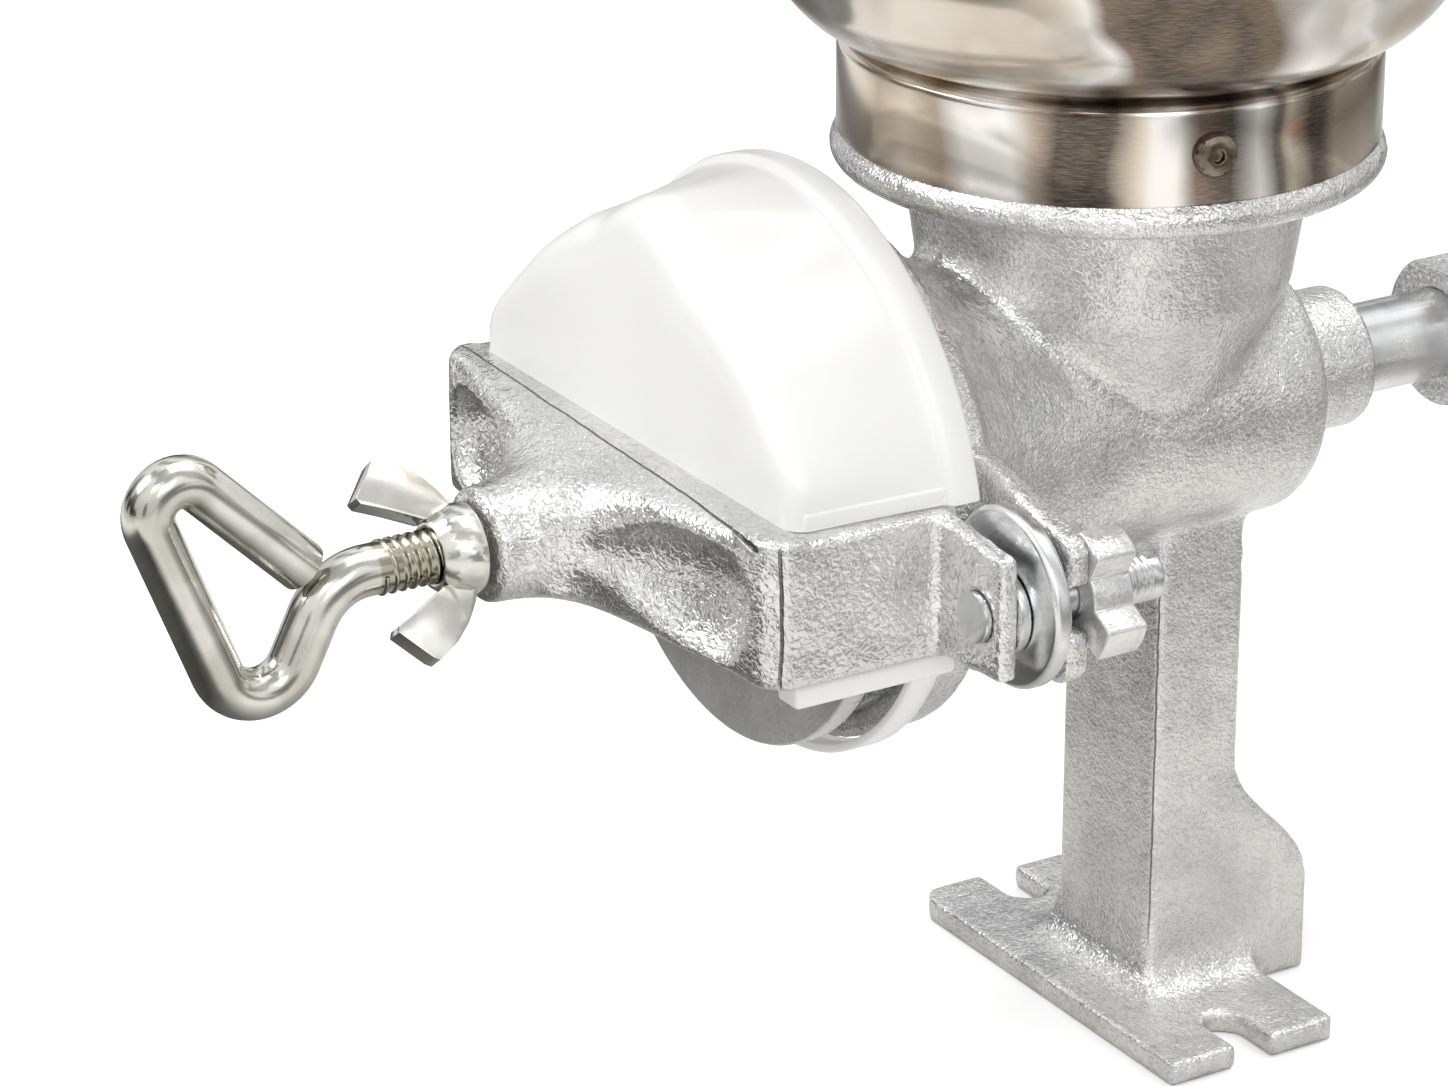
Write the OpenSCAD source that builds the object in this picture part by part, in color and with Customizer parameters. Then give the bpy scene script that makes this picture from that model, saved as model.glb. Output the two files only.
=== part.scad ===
// Hand grain mill with a cast body, a clamped front yoke and a sheet metal hopper.
// Origin: centre of the foot's underside. +Z is up and the shaft lies along Y, with the crank at +Y.

/* [Frame] */
// Height of the shaft axis above the foot's underside
axis_h = 145.5; // [125:0.5:175]
// Forward offset of the neck's axis from the foot's centre
neck_offset = 10.4; // [0:0.1:14]
// Running clearance on a radius, for shafts and threads
run_gap = 0.05; // [0.02:0.01:0.08]
// Clearance between faces that pass each other
face_gap = 0.3; // [0.2:0.05:0.5]

/* [Foot] */
// Length of the foot across the shaft
foot_l = 106; // [100:1:130]
// Width of the foot along the shaft
foot_w = 45.6; // [42:0.2:54]
// Thickness of the foot
foot_t = 5.8; // [4.5:0.1:9]
// Corner radius at the far end of the foot
foot_corner_r = 7; // [2:0.5:9]
// Corner radius at the near end of the foot
foot_near_r = 2.5; // [1:0.5:9]
// Width of the bolt slots
foot_slot_w = 9.7; // [7:0.1:12]
// Depth of the bolt slots from the ends
foot_slot_l = 17; // [12:0.5:22]

/* [Pillar] */
// Width of the pillar across the shaft
pillar_w = 39; // [34:0.5:46]
// Depth of the pillar's upper part along the shaft
pillar_d = 24.2; // [20:0.2:30]
// Distance of the pillar's front from the foot's centre
pillar_front = 6.7; // [4:0.1:12]
// Distance of the rear wing's edge from the foot's centre
wing_reach = 39.3; // [34:0.1:46]
// Height where the rear wing starts to leave the pillar
wing_top_h = 59; // [50:1:80]
// Height where the rear wing reaches its full depth
wing_low_h = 25; // [18:1:40]
// Wall of the pillar's open-backed channel
pillar_wall = 5.5; // [4:0.1:8]
// Depth of the receding left part of the pillar's front
pillar_bevel = 1.6; // [0.5:0.1:4]
// Radius of the fillets between pillar and foot
foot_fillet = 8.6; // [3:0.1:10]

/* [Barrel] */
// Outer radius of the barrel
barrel_r = 31; // [27:0.5:38]
// Inner radius of the barrel
barrel_bore_r = 25.6; // [22:0.1:26]
// Distance of the barrel's rear face from the foot's centre
barrel_rear = 34; // [28:0.5:46]
// Length of the straight barrel
barrel_l = 55; // [45:1:65]
// Rounding of the barrel's rear edge
barrel_edge_r = 8; // [3:0.5:11]
// Length of the cone from the ears to the barrel
cone_l = 56.9; // [46:0.1:70]
// Thickness of the barrel's rear wall
rear_wall = 9; // [6:0.5:14]
// Radius of the rear boss
boss_r = 16.5; // [14:0.1:20]
// Length of the rear boss
boss_l = 21.5; // [16:0.5:30]

/* [Cup] */
// Radius of the cup beyond the fixed plate that it holds
cup_over = 5.6; // [4.6:0.1:6]
// Length of the cup in front of the ears
cup_l = 8.7; // [7.5:0.1:12]
// Depth of the seat for the fixed plate
seat_d = 3; // [2:0.1:4]
// Thickness of the body's ears
ear_t = 5.6; // [4.5:0.1:8]
// Reach of the body's ears beyond the studs
ear_over = 8.9; // [8:0.1:12]
// Height of the ears' outer end above the axis
ear_up = 14.3; // [12:0.1:18]
// Depth of the ears' outer end below the axis
ear_down = 18.5; // [15:0.1:22]
// Height of the ears' top edge where it meets the cup, above the axis
ear_root_up = 22; // [16:0.5:30]
// Rounding of the ears' lower corners
ear_corner_r = 6; // [2:0.5:8]
// Distance of the studs outside the cup
stud_over = 26; // [25.4:0.1:27.4]
// Drop of the studs below the axis
stud_drop = 1; // [0:0.1:3]

/* [Neck] */
// Radius of the neck below its flange
neck_r = 45.5; // [43:0.1:50]
// Radius of the neck at half height
neck_mid_r = 41.7; // [38:0.1:46]
// Height of the flange's top face above the axis
flange_up = 66.7; // [58:0.1:80]
// Radius of the flange
flange_r = 61.5; // [60:0.1:66]
// Thickness of the flange
flange_t = 7.6; // [5:0.1:10]
// Height of the ring that the hopper collar sits over
spigot_l = 17; // [14.5:0.1:20]
// Wall of the ring that the hopper collar sits over
spigot_wall = 4.2; // [3:0.1:5]
// Radius of the feed throat where it enters the barrel
throat_r = 22; // [16:0.5:24]

/* [Plates] */
// Radius of the two grinding plates
plate_r = 53; // [50:0.1:55]
// Thickness of the grinding plates
plate_t = 6.4; // [5:0.1:8]
// Gap between the two plates at rest
grind_gap = 0.5; // [0.3:0.05:1]
// Radius of the fixed plate's feed hole
plate_hole_r = 25; // [18:0.5:25]
// Number of ribs on each plate
rib_count = 20; // [12:1:28]
// Depth of the grinding ribs' grooves
rib_d = 1.6; // [1:0.1:2.4]
// Width of the grinding grooves
rib_w = 3; // [2:0.1:4]
// Radius of the plate holder beyond the plates
holder_over = 3.8; // [2.8:0.1:4.2]
// Thickness of the plate holder's disc
holder_t = 8.4; // [6:0.1:10]
// Radius of the plate holder's hub
holder_hub_r = 17; // [15:0.5:22]
// Depth of the lugs that carry the rotating plate round
lug_d = 2.5; // [1.5:0.1:3]
// Radius of the fixed plate's screws
plate_screw_r = 2.5; // [2:0.1:3]
// Length of the fixed plate's screws
plate_screw_l = 9.6; // [8:0.1:11]
// Radius of the drive pin
drive_pin_r = 2.5; // [2:0.1:3.5]
// Length of the drive pin
drive_pin_l = 30; // [28:0.5:38]

/* [Auger] */
// Radius of the shaft
shaft_r = 10.6; // [9:0.1:13]
// Radius of the auger's flight
flight_r = 24.8; // [20:0.1:25]
// Advance of the flight in one turn
flight_pitch = 30; // [24:1:40]
// Thickness of the flight
flight_t = 5; // [3:0.1:7]
// Radius of the thrust ball
ball_r = 3.5; // [3:0.1:4]

/* [Yoke] */
// Radius of the yoke's boss at its front face
yoke_boss_r = 12.7; // [11:0.1:16]
// Length from the boss's front face to the bar's front
yoke_nose_l = 29.2; // [26:0.1:40]
// Radius of the nose where it meets the bar
yoke_nose_r = 15.8; // [14:0.1:16.5]
// Thickness of the bar along the shaft
yoke_bar_t = 20.3; // [16:0.1:22]
// Half span of the bar beyond the cup
yoke_bar_over = 11.9; // [11.2:0.1:12.4]
// Height of the bar's top face above the axis
yoke_up = 17.6; // [16:0.1:22]
// Depth of the bar's underside below the axis
yoke_down = 15.6; // [14:0.1:18]
// Thickness of the arms
yoke_arm_t = 7.8; // [6:0.1:8.4]
// Thickness of the yoke's ears
yoke_ear_t = 4.9; // [4:0.1:7]
// Reach of the yoke's ears beyond the studs
yoke_ear_over = 8.6; // [8:0.1:12]
// Half height of the yoke's ears
yoke_ear_h = 13.6; // [12:0.1:16]
// Depth of the pockets in the front of the bar
pocket_d = 6.4; // [1:0.1:8]
// Width of the frame round the pockets
pocket_rim = 5.2; // [3:0.1:8]
// Bevel of the bar's front corners
yoke_bevel = 4.8; // [1:0.1:6]
// Thickness of the ribs from the nose to the bar
rib_web_t = 20; // [10:0.5:22]
// Height of the raised strip along the bar's top edge
strip_h = 0.8; // [0.5:0.1:2]

/* [Studs] */
// Radius of the studs' shank
stud_r = 4.6; // [4:0.1:4.8]
// Radius of the studs' rolled thread
stud_thread_r = 5.2; // [5:0.1:5.4]
// Radius of the peened head
stud_head_r = 5.4; // [5.1:0.1:6.5]
// Height of the peened head
stud_head_t = 1.4; // [0.8:0.1:2.4]
// Radius of the collar behind the yoke's ear
stud_collar_r = 9.2; // [6.5:0.1:10]
// Thickness of the collar behind the yoke's ear
stud_collar_t = 2.2; // [1.5:0.1:2.4]
// Length of stud behind the body's ear
stud_tail = 22.2; // [20:0.2:28]
// Radius of the stop discs
disc_r = 19.4; // [17:0.1:19.8]
// Thickness of the stop discs
disc_t = 4.4; // [3.5:0.1:6]
// Rise of the stop discs' centre above their hole
disc_rise = 1.9; // [0:0.1:2.4]
// Inward offset of the stop discs' centre from their hole
disc_in = 1.6; // [0:0.1:1.8]
// Pitch of the studs' thread
stud_pitch = 1.75; // [1.25:0.25:2.5]
// Radius of the clamp nut's hub
nut_hub_r = 10; // [7.5:0.1:11]
// Thickness of the clamp nut
nut_t = 10; // [8:0.5:13]
// Width of the clamp nut's lugs
nut_lug_w = 8.5; // [7:0.5:11]
// Reach of the clamp nut's lugs from its axis
nut_reach = 15.6; // [13:0.1:17.8]
// Turn of the clamp nut's first lug from level, in degrees
nut_turn = 62; // [0:1:90]

/* [Cover] */
// Wall of the cover
cover_wall = 2; // [1.6:0.1:2.2]
// Height of the cover's rear arch over the cup
arch_over = 12.9; // [11.5:0.1:14]
// Depth of the rear rim
arch_rim_l = 7; // [6:0.1:8]
// Gap between the rear rim and the body's ears
arch_gap = 5.4; // [4:0.1:6]
// Step from the hood to the rear arch
hood_step = 1.6; // [1:0.1:2.4]
// Drop of the hood's front crown below the top of the rear arch
hood_crown_drop = 2; // [1.6:0.1:8]
// Inset of the hood's front foot from the arch's radius
hood_foot_in = 5.5; // [3:0.1:8]
// Distance from the bar's front face back to the hood's front
hood_set_back = 8.4; // [6:0.1:11]
// Gap between the cup and the ring round it
ring_gap = 0.4; // [0.3:0.1:0.6]
// Thickness of the side skirts
skirt_t = 2; // [1.6:0.1:2.4]
// Height of the rails under the arms
rail_h = 5; // [3:0.5:7]

/* [Adjusting screw] */
// Outer radius of the screw's thread
screw_r = 6; // [5:0.1:7]
// Pitch of the screw's thread
screw_pitch = 2.4; // [1.5:0.1:3]
// Depth of the screw's thread
thread_d = 0.9; // [0.5:0.05:1.2]
// Radius of the handle's rod
rod_r = 5.55; // [4.5:0.05:6.5]
// Length of thread in front of the yoke's boss
screw_out = 24.2; // [22:0.2:34]
// Forward reach of the loop from the end of the thread
loop_reach = 54; // [46:0.5:64]
// Rise of the loop above the axis
loop_rise = 29; // [24:0.5:36]
// Drop of the loop below the axis
loop_drop = 22; // [18:0.5:30]
// Radius of the loop's bends
loop_bend_r = 10; // [8:0.5:12]

/* [Wing nut] */
// Radius of the wing nut's hub
wing_hub_r = 10; // [9:0.1:13]
// Length of the wing nut's hub
wing_hub_l = 9; // [7:0.1:12]
// Gap between the wing nut and the yoke's boss
wing_seat_gap = 1.5; // [0.3:0.1:2]
// Reach of each wing from the axis
wing_span = 22.6; // [18:0.1:26]
// Forward sweep of the wings
wing_sweep = 22.4; // [18:0.1:23]
// Thickness of the wings
wing_t = 5.4; // [4:0.1:7]
// Turn of the wings from level, in degrees
wing_turn = 127; // [0:1:180]

/* [Hopper] */
// Outer radius of the collar
collar_r = 60; // [58:0.1:61]
// Height of the collar
collar_h = 22; // [20:0.1:30]
// Thickness of the sheet
sheet_t = 1.2; // [0.8:0.1:1.8]
// Largest radius of the bowl
bowl_r = 84; // [78:0.5:95]
// Height of the bowl above the collar
bowl_h = 82; // [60:1:110]
// Radius of the bowl's rolled rim
rim_r = 2.6; // [1.8:0.1:4]
// Radius of the bowl's lower bend
bowl_bend_r = 24; // [16:0.5:30]
// Number of screws through the collar
collar_screw_count = 2; // [2:1:4]
// Turn of the first collar screw from +X, in degrees
collar_screw_turn = -13.5; // [-20:0.1:20]
// Radius of the collar screws' heads
collar_head_r = 4.9; // [4:0.1:5.5]
// Height of the collar screws' heads
collar_head_t = 2.2; // [1.5:0.1:3]
// Drop of the collar screws below the top of the ring under the collar
collar_screw_drop = 5.9; // [5.5:0.1:8]
// Radius of the collar screws' shanks
collar_shank_r = 2.4; // [2:0.1:3]

/* [Crank] */
// Radius of the crank from the shaft to the grip's axle
crank_l = 185; // [140:1:230]
// Radius of the crank's hub
crank_hub_r = 17.6; // [15:0.1:22]
// Thickness of the crank's hub
crank_hub_t = 24; // [20:0.5:32]
// Height of the flat on the crank's hub above the axis
crank_flat_up = 15; // [14:0.1:16.8]
// Gap along the shaft between the rear boss and the crank
crank_gap = 29.5; // [20:0.5:40]
// Thickness of the crank's arm
arm_t = 9; // [7:0.1:12]
// Width of the arm at the hub
arm_root_w = 27; // [20:0.5:30]
// Width of the arm at the grip
arm_end_w = 20; // [17:0.5:26]
// Radius of the crank's set screw
set_screw_r = 3.9; // [3:0.1:4.5]

/* [Grip] */
// Length of the grip
grip_l = 92; // [70:1:120]
// Largest radius of the grip
grip_r = 16; // [13:0.5:20]
// Radius of the grip bolt
bolt_r = 4; // [3.5:0.1:5]
// Across flats size of the grip nut
grip_nut_af = 13; // [12:0.5:16]
// Thickness of the grip nut
grip_nut_t = 6.5; // [5:0.1:8]
// Radius of the grip washer
washer_r = 9; // [8.5:0.1:12]
// Thickness of the grip washer
washer_t = 1.6; // [1.2:0.1:2.4]

/* [Hidden] */
$fn = 64;

// One overrun serves every cut
over = 1;
// Width of the driver slots in the screws' heads
driver_slot_w = 0.8;
// Depth of the flat that the crank's set screw bears on
shaft_flat_d = 1;
cast_grey = "silver";
zinc = "lightsteelblue";

// Sizes across the shaft, from the plates outwards
cup_r = plate_r + cup_over;
holder_r = plate_r + holder_over;
stud_x = cup_r + stud_over;
ear_reach = stud_x + ear_over;
yoke_bar_x = cup_r + yoke_bar_over;
yoke_ear_x = stud_x + yoke_ear_over;

// Places along the shaft, from the crank's end to the handle's end
barrel_front_y = barrel_rear - barrel_l;
ear_back_y = barrel_front_y - cone_l;
ear_front_y = ear_back_y - ear_t;
cup_y = ear_front_y - cup_l;
fixed_back_y = cup_y + seat_d;
fixed_front_y = fixed_back_y - plate_t;
moving_back_y = fixed_front_y - grind_gap;
moving_front_y = moving_back_y - plate_t;
holder_front_y = moving_front_y - holder_t;
shaft_nose = 5;
shaft_front_y = holder_front_y - shaft_nose;
ball_pit = ball_r - run_gap;
ball_y = shaft_front_y + ball_pit - ball_r - run_gap;
screw_tip_y = ball_y - ball_r - run_gap;
boss_end_y = barrel_rear + boss_l;
crank_front_y = boss_end_y + crank_gap;
crank_back_y = crank_front_y + crank_hub_t;

// The stop discs stand on the stud collars, with a gap to the body's ears
disc_room = 4.7;
yoke_ear_back_y = ear_front_y - disc_t - stud_collar_t - face_gap - disc_room;
yoke_ear_front_y = yoke_ear_back_y - yoke_ear_t;
disc_y = ear_front_y - disc_room - disc_t;
arm_l = 21.2;
yoke_bar_back_y = yoke_ear_front_y - arm_l;
yoke_bar_y = yoke_bar_back_y - yoke_bar_t;
yoke_nose_y = yoke_bar_y - yoke_nose_l;
screw_start_y = yoke_nose_y - screw_out;
wing_back_y = yoke_nose_y - wing_seat_gap;

// Heights
stud_z = axis_h - stud_drop;
flange_z = axis_h + flange_up;
collar_z = flange_z;
bowl_z = collar_z + collar_h;
spigot_r = collar_r - sheet_t - run_gap;
neck_y = -neck_offset;

// Carries a turned profile, drawn as radius and place along Y, onto the shaft axis
module on_axis(y = 0) {
    translate([0, y, axis_h]) rotate([-90, 0, 0]) children();
}

// Turns a profile of radius and place along Y round the shaft axis
module turned() {
    on_axis() rotate_extrude() children();
}

// Extrudes an outline of X and Z from y0 to y1
module along_y(y0, y1) {
    translate([0, y1, 0]) rotate([90, 0, 0]) linear_extrude(y1 - y0) children();
}

// A round bar along Y from y0 to y1, at x and z
module bar_y(r, y0, y1, x = 0, z = axis_h) {
    translate([x, y0, z]) rotate([-90, 0, 0]) cylinder(r = r, h = y1 - y0);
}

// A rectangle with its low corner at a and its high corner at b
module span(a, b) {
    translate(a) square(b - a);
}

// The same shape on both sides
module both_sides() {
    children();
    mirror([1, 0, 0]) children();
}

// A threaded rod's profile: radius r, from y0 to y1, as a row of crests with narrow flats
module thread_profile(r, y0, y1, pitch, depth) {
    turns = floor((y1 - y0) / pitch);
    flat = pitch / 6;
    slope = pitch / 3;
    lead = y1 - y0 - turns * pitch;
    polygon(concat(
        [[0, y1], [0, y0]],
        [for (i = [0:turns - 1]) for (p = [
            [r - depth, 0], [r, slope], [r, slope + flat], [r - depth, 2 * slope + flat]
        ]) [p[0], y0 + i * pitch + p[1]]],
        [[r - depth, y1 - lead], [r - depth, y1]]
    ));
}

// Foot

module foot_outline() {
    x = foot_l / 2;
    y = foot_w / 2;
    difference() {
        union() {
            span([-x + foot_corner_r, -y], [x - foot_near_r, y]);
            span([-x, -y + foot_corner_r], [x, y - foot_corner_r]);
            span([0, -y + foot_near_r], [x, y - foot_near_r]);
            for (s = [-1, 1]) {
                translate([-x + foot_corner_r, s * (y - foot_corner_r)]) circle(foot_corner_r);
                translate([x - foot_near_r, s * (y - foot_near_r)]) circle(foot_near_r);
            }
        }
        for (s = [-1, 1]) foot_slot(s);
    }
}

module foot_slot(side) {
    end = foot_l / 2 - foot_slot_l + foot_slot_w / 2;
    translate([side * end, 0]) circle(foot_slot_w / 2);
    translate([side > 0 ? end : -foot_l / 2 - over, -foot_slot_w / 2])
        square([foot_l / 2 - end + over, foot_slot_w]);
}

// Pillar

// Side view of the pillar as Y and Z: straight above, with a wing that bends out behind
module pillar_side() {
    front = -pillar_front;
    back = front + pillar_d;
    steps = 12;
    union() {
        span([front, 0], [back, axis_h]);
        polygon(concat(
            [[front, 0], [wing_reach, 0]],
            [for (i = [0:steps]) let(t = i / steps)
                [back + (wing_reach - back) * (1 + cos(180 * t)) / 2, wing_low_h + (wing_top_h - wing_low_h) * t]],
            [[front, wing_top_h]]
        ));
    }
}

// A cove along X or Y that blends the pillar into the foot
module cove(length) {
    linear_extrude(length) difference() {
        square(foot_fillet);
        translate([foot_fillet, foot_fillet]) circle(foot_fillet);
    }
}

module pillar_coves() {
    x = pillar_w / 2;
    side_l = pillar_front + foot_w / 2;
    translate([x, foot_w / 2, foot_t]) rotate([90, 0, 0]) cove(side_l);
    translate([-x, -pillar_front, foot_t]) rotate([90, 0, 180]) cove(side_l);
    translate([x, -pillar_front, foot_t]) rotate([90, 0, -90]) cove(pillar_w);
}

module pillar() {
    x = pillar_w / 2;
    difference() {
        translate([-x, 0, 0]) rotate([90, 0, 90]) linear_extrude(pillar_w) pillar_side();
        // The left part of the front falls back
        translate([0, 0, foot_t + foot_fillet]) linear_extrude(axis_h) polygon([
            [-x - over, -pillar_front - over], [-pillar_w / 6, -pillar_front - over],
            [-pillar_w / 6, -pillar_front], [-x - over, -pillar_front + pillar_bevel]
        ]);
    }
}

// The pillar's back is an open channel
module pillar_channel() {
    x = pillar_w / 2 - pillar_wall;
    top = axis_h - barrel_r - pillar_wall;
    translate([-x, -pillar_front + pillar_wall, foot_t])
        cube([2 * x, wing_reach + pillar_front, top - foot_t]);
    translate([-x, foot_w / 2, -over])
        cube([2 * x, wing_reach, foot_t + 2 * over]);
}

// Barrel and cup

module barrel_profile() {
    straight_end = barrel_rear - barrel_edge_r;
    polygon([
        [0, cup_y], [cup_r, cup_y], [cup_r, ear_back_y],
        [cup_r - cone_l / 8, ear_back_y + cone_l / 12],
        [barrel_r + cone_l / 5, ear_back_y + cone_l / 3],
        [barrel_r + cone_l / 20, barrel_front_y - cone_l / 4],
        [barrel_r, barrel_front_y], [barrel_r, straight_end], [0, straight_end]
    ]);
    span([0, straight_end - over], [barrel_r - barrel_edge_r, barrel_rear]);
    translate([barrel_r - barrel_edge_r, straight_end]) intersection() {
        circle(barrel_edge_r);
        square(barrel_edge_r);
    }
    span([0, barrel_rear - over], [boss_r, boss_end_y]);
}

module ear_outline() {
    x = ear_reach - ear_corner_r;
    low = axis_h - ear_down + ear_corner_r;
    polygon([
        [-ear_reach, low], [-x, low - ear_corner_r], [x, low - ear_corner_r], [ear_reach, low],
        [ear_reach, axis_h + ear_up - ear_corner_r / 2],
        [x + ear_corner_r / 2, axis_h + ear_up],
        [cup_r, axis_h + ear_root_up], [-cup_r, axis_h + ear_root_up],
        [-x - ear_corner_r / 2, axis_h + ear_up],
        [-ear_reach, axis_h + ear_up - ear_corner_r / 2]
    ]);
    for (s = [-1, 1]) translate([s * x, low]) circle(ear_corner_r);
}

// Open slot in an ear, round at the stud
module ear_slot() {
    w = stud_r + face_gap;
    bar_y(w, ear_front_y - over, ear_back_y + over, stud_x, stud_z);
    translate([stud_x, ear_front_y - over, stud_z - w])
        cube([ear_reach - stud_x + over, ear_t + 2 * over, 2 * w]);
}

// Neck

module neck_profile() {
    under = flange_z - flange_t;
    bull = flange_t / 2;
    polygon([
        [0, axis_h], [throat_r + spigot_wall, axis_h], [neck_mid_r - 2 * spigot_wall, axis_h + flange_up / 4],
        [neck_mid_r, axis_h + flange_up / 2],
        [neck_r, under], [neck_r, flange_z - bull], [0, flange_z - bull]
    ]);
    span([0, under], [flange_r - bull, flange_z]);
    translate([flange_r - bull, under + bull]) circle(bull);
    span([0, under], [spigot_r, flange_z + spigot_l]);
}

// Room for the grain, from the spigot's mouth down into the barrel
module throat_profile() {
    mouth = spigot_r - spigot_wall;
    polygon([
        [0, axis_h], [throat_r, axis_h], [throat_r, axis_h + flange_up / 4],
        [neck_mid_r - pillar_wall, axis_h + flange_up / 2],
        [neck_r - pillar_wall, flange_z - flange_t], [mouth, flange_z],
        [mouth, flange_z + spigot_l + over], [0, flange_z + spigot_l + over]
    ]);
}

// Places one child at each collar screw, with its own +X pointing out
module at_collar_screws() {
    for (i = [0:collar_screw_count - 1])
        translate([0, neck_y, flange_z + spigot_l - collar_screw_drop])
            rotate([0, 0, collar_screw_turn + i * 360 / collar_screw_count]) children();
}

module out_bar(r, x0, x1) {
    translate([x0, 0, 0]) rotate([0, 90, 0]) cylinder(r = r, h = x1 - x0);
}

plate_screw_ring = (plate_hole_r + plate_r) / 2;

// Places its child at each fixed plate screw
module at_plate_screws() {
    for (i = [0:2]) on_axis() rotate([0, 0, 30 + i * 120]) translate([plate_screw_ring, 0, 0]) children();
}

module body_casting() {
    color(cast_grey) difference() {
        union() {
            linear_extrude(foot_t) foot_outline();
            pillar();
            pillar_coves();
            turned() barrel_profile();
            translate([0, neck_y, 0]) rotate_extrude() neck_profile();
            along_y(ear_front_y, ear_back_y) ear_outline();
        }
        pillar_channel();
        bar_y(barrel_bore_r, cup_y - over, barrel_rear - rear_wall);
        bar_y(shaft_r + run_gap, barrel_rear - rear_wall - over, boss_end_y + over);
        bar_y(plate_r + face_gap, cup_y - over, fixed_back_y);
        translate([0, neck_y, 0]) rotate_extrude() throat_profile();
        both_sides() ear_slot();
        at_plate_screws() translate([0, 0, fixed_back_y - over])
            cylinder(r = plate_screw_r, h = plate_screw_l - plate_t + 2 * over);
        at_collar_screws() out_bar(collar_shank_r, spigot_r - spigot_wall - over, spigot_r + over);
    }
}

// Grinding plates

// Lean of the grooves from the radius, in degrees
groove_lean = 20;

// Grooves that run out from the centre, leaning a little, in a face at y
module plate_grooves(y, lean) {
    inner = plate_hole_r + rib_w;
    for (i = [0:rib_count - 1])
        on_axis(y) rotate([0, 0, i * 360 / rib_count]) translate([inner, 0, 0]) rotate([0, 0, lean])
            translate([0, -rib_w / 2, -rib_d]) cube([plate_r, rib_w, 2 * rib_d]);
}

module fixed_plate() {
    color("lightgray") difference() {
        bar_y(plate_r, fixed_front_y, fixed_back_y);
        bar_y(plate_hole_r, fixed_front_y - over, fixed_back_y + over);
        plate_grooves(fixed_front_y, groove_lean);
        at_plate_screws() {
            translate([0, 0, fixed_front_y - over]) cylinder(r = plate_screw_r, h = plate_t + 2 * over);
            translate([0, 0, fixed_front_y - over])
                cylinder(r = 2 * plate_screw_r, h = over + rib_d + plate_screw_r);
        }
    }
}

module fixed_plate_screws() {
    head_y = fixed_front_y + rib_d;
    color(zinc) at_plate_screws() {
        translate([0, 0, head_y]) difference() {
            cylinder(r = 2 * plate_screw_r - run_gap, h = plate_screw_r);
            translate([-2 * plate_screw_r, -driver_slot_w / 2, -over])
                cube([4 * plate_screw_r, driver_slot_w, over + plate_screw_r / 3]);
        }
        translate([0, 0, head_y]) cylinder(r = plate_screw_r - run_gap, h = plate_screw_l - rib_d);
    }
}

lug_x = holder_hub_r + (plate_r - holder_hub_r) / 2;
lug_r = 5;

module rotating_plate() {
    color("lightgray") difference() {
        union() {
            bar_y(plate_r, moving_front_y, moving_back_y);
            for (s = [-1, 1]) bar_y(lug_r, moving_front_y - lug_d, moving_front_y, s * lug_x);
        }
        bar_y(shaft_r + run_gap, moving_front_y - over, moving_back_y + over);
        plate_grooves(moving_back_y, -groove_lean);
    }
}

module plate_holder() {
    color(cast_grey) difference() {
        union() {
            bar_y(holder_r, holder_front_y + holder_t / 3, moving_front_y);
            turned() polygon([
                [0, holder_front_y], [holder_hub_r, holder_front_y],
                [holder_hub_r + holder_t, holder_front_y + holder_t / 3], [0, holder_front_y + holder_t / 3]
            ]);
        }
        bar_y(shaft_r + run_gap, holder_front_y - over, moving_front_y + over);
        for (s = [-1, 1])
            bar_y(lug_r + run_gap, moving_front_y - lug_d - run_gap, moving_front_y + over, s * lug_x);
        // The pin lies in a groove that is open to the front
        translate([0, pin_y, axis_h]) out_bar(drive_pin_r, -drive_pin_l / 2, drive_pin_l / 2);
        translate([-drive_pin_l / 2, holder_front_y - over, axis_h - drive_pin_r])
            cube([drive_pin_l, drive_pin_r + over, 2 * drive_pin_r]);
    }
}

pin_y = holder_front_y + drive_pin_r;

module drive_pin() {
    color(zinc) translate([0, pin_y, axis_h])
        out_bar(drive_pin_r - run_gap / 2, -drive_pin_l / 2 + run_gap, drive_pin_l / 2 - run_gap);
}

// Auger

flight_front_y = cup_y;
flight_back_y = barrel_rear - rear_wall - 1.5 * flight_t;

// A slice of the flight, as the sector of its disc that gives the thickness along the shaft
module flight_sector() {
    angle = 360 * flight_t / flight_pitch;
    steps = 3;
    inner = shaft_r - thread_d;
    polygon(concat(
        [for (i = [0:steps]) flight_r * [cos(i * angle / steps), sin(i * angle / steps)]],
        [for (i = [steps:-1:0]) inner * [cos(i * angle / steps), sin(i * angle / steps)]]
    ));
}

module auger() {
    length = flight_back_y - flight_front_y;
    turns = length / flight_pitch;
    color(cast_grey) difference() {
        union() {
            bar_y(shaft_r, shaft_front_y, crank_back_y);
            on_axis(flight_front_y)
                linear_extrude(length, twist = -360 * turns, slices = ceil(turns * 14), segments = 4)
                    flight_sector();
        }
        bar_y(ball_r + run_gap, shaft_front_y - over, shaft_front_y + ball_pit);
        translate([0, pin_y, axis_h]) out_bar(drive_pin_r, -shaft_r - over, shaft_r + over);
        // Flat for the crank's set screw
        translate([-shaft_r, crank_front_y, axis_h + shaft_r - shaft_flat_d])
            cube([2 * shaft_r, crank_hub_t + over, shaft_r]);
    }
}

module thrust_ball() {
    color(zinc) translate([0, ball_y, axis_h]) sphere(r = ball_r);
}

// Front yoke

nose_edge = 0.7;

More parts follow.
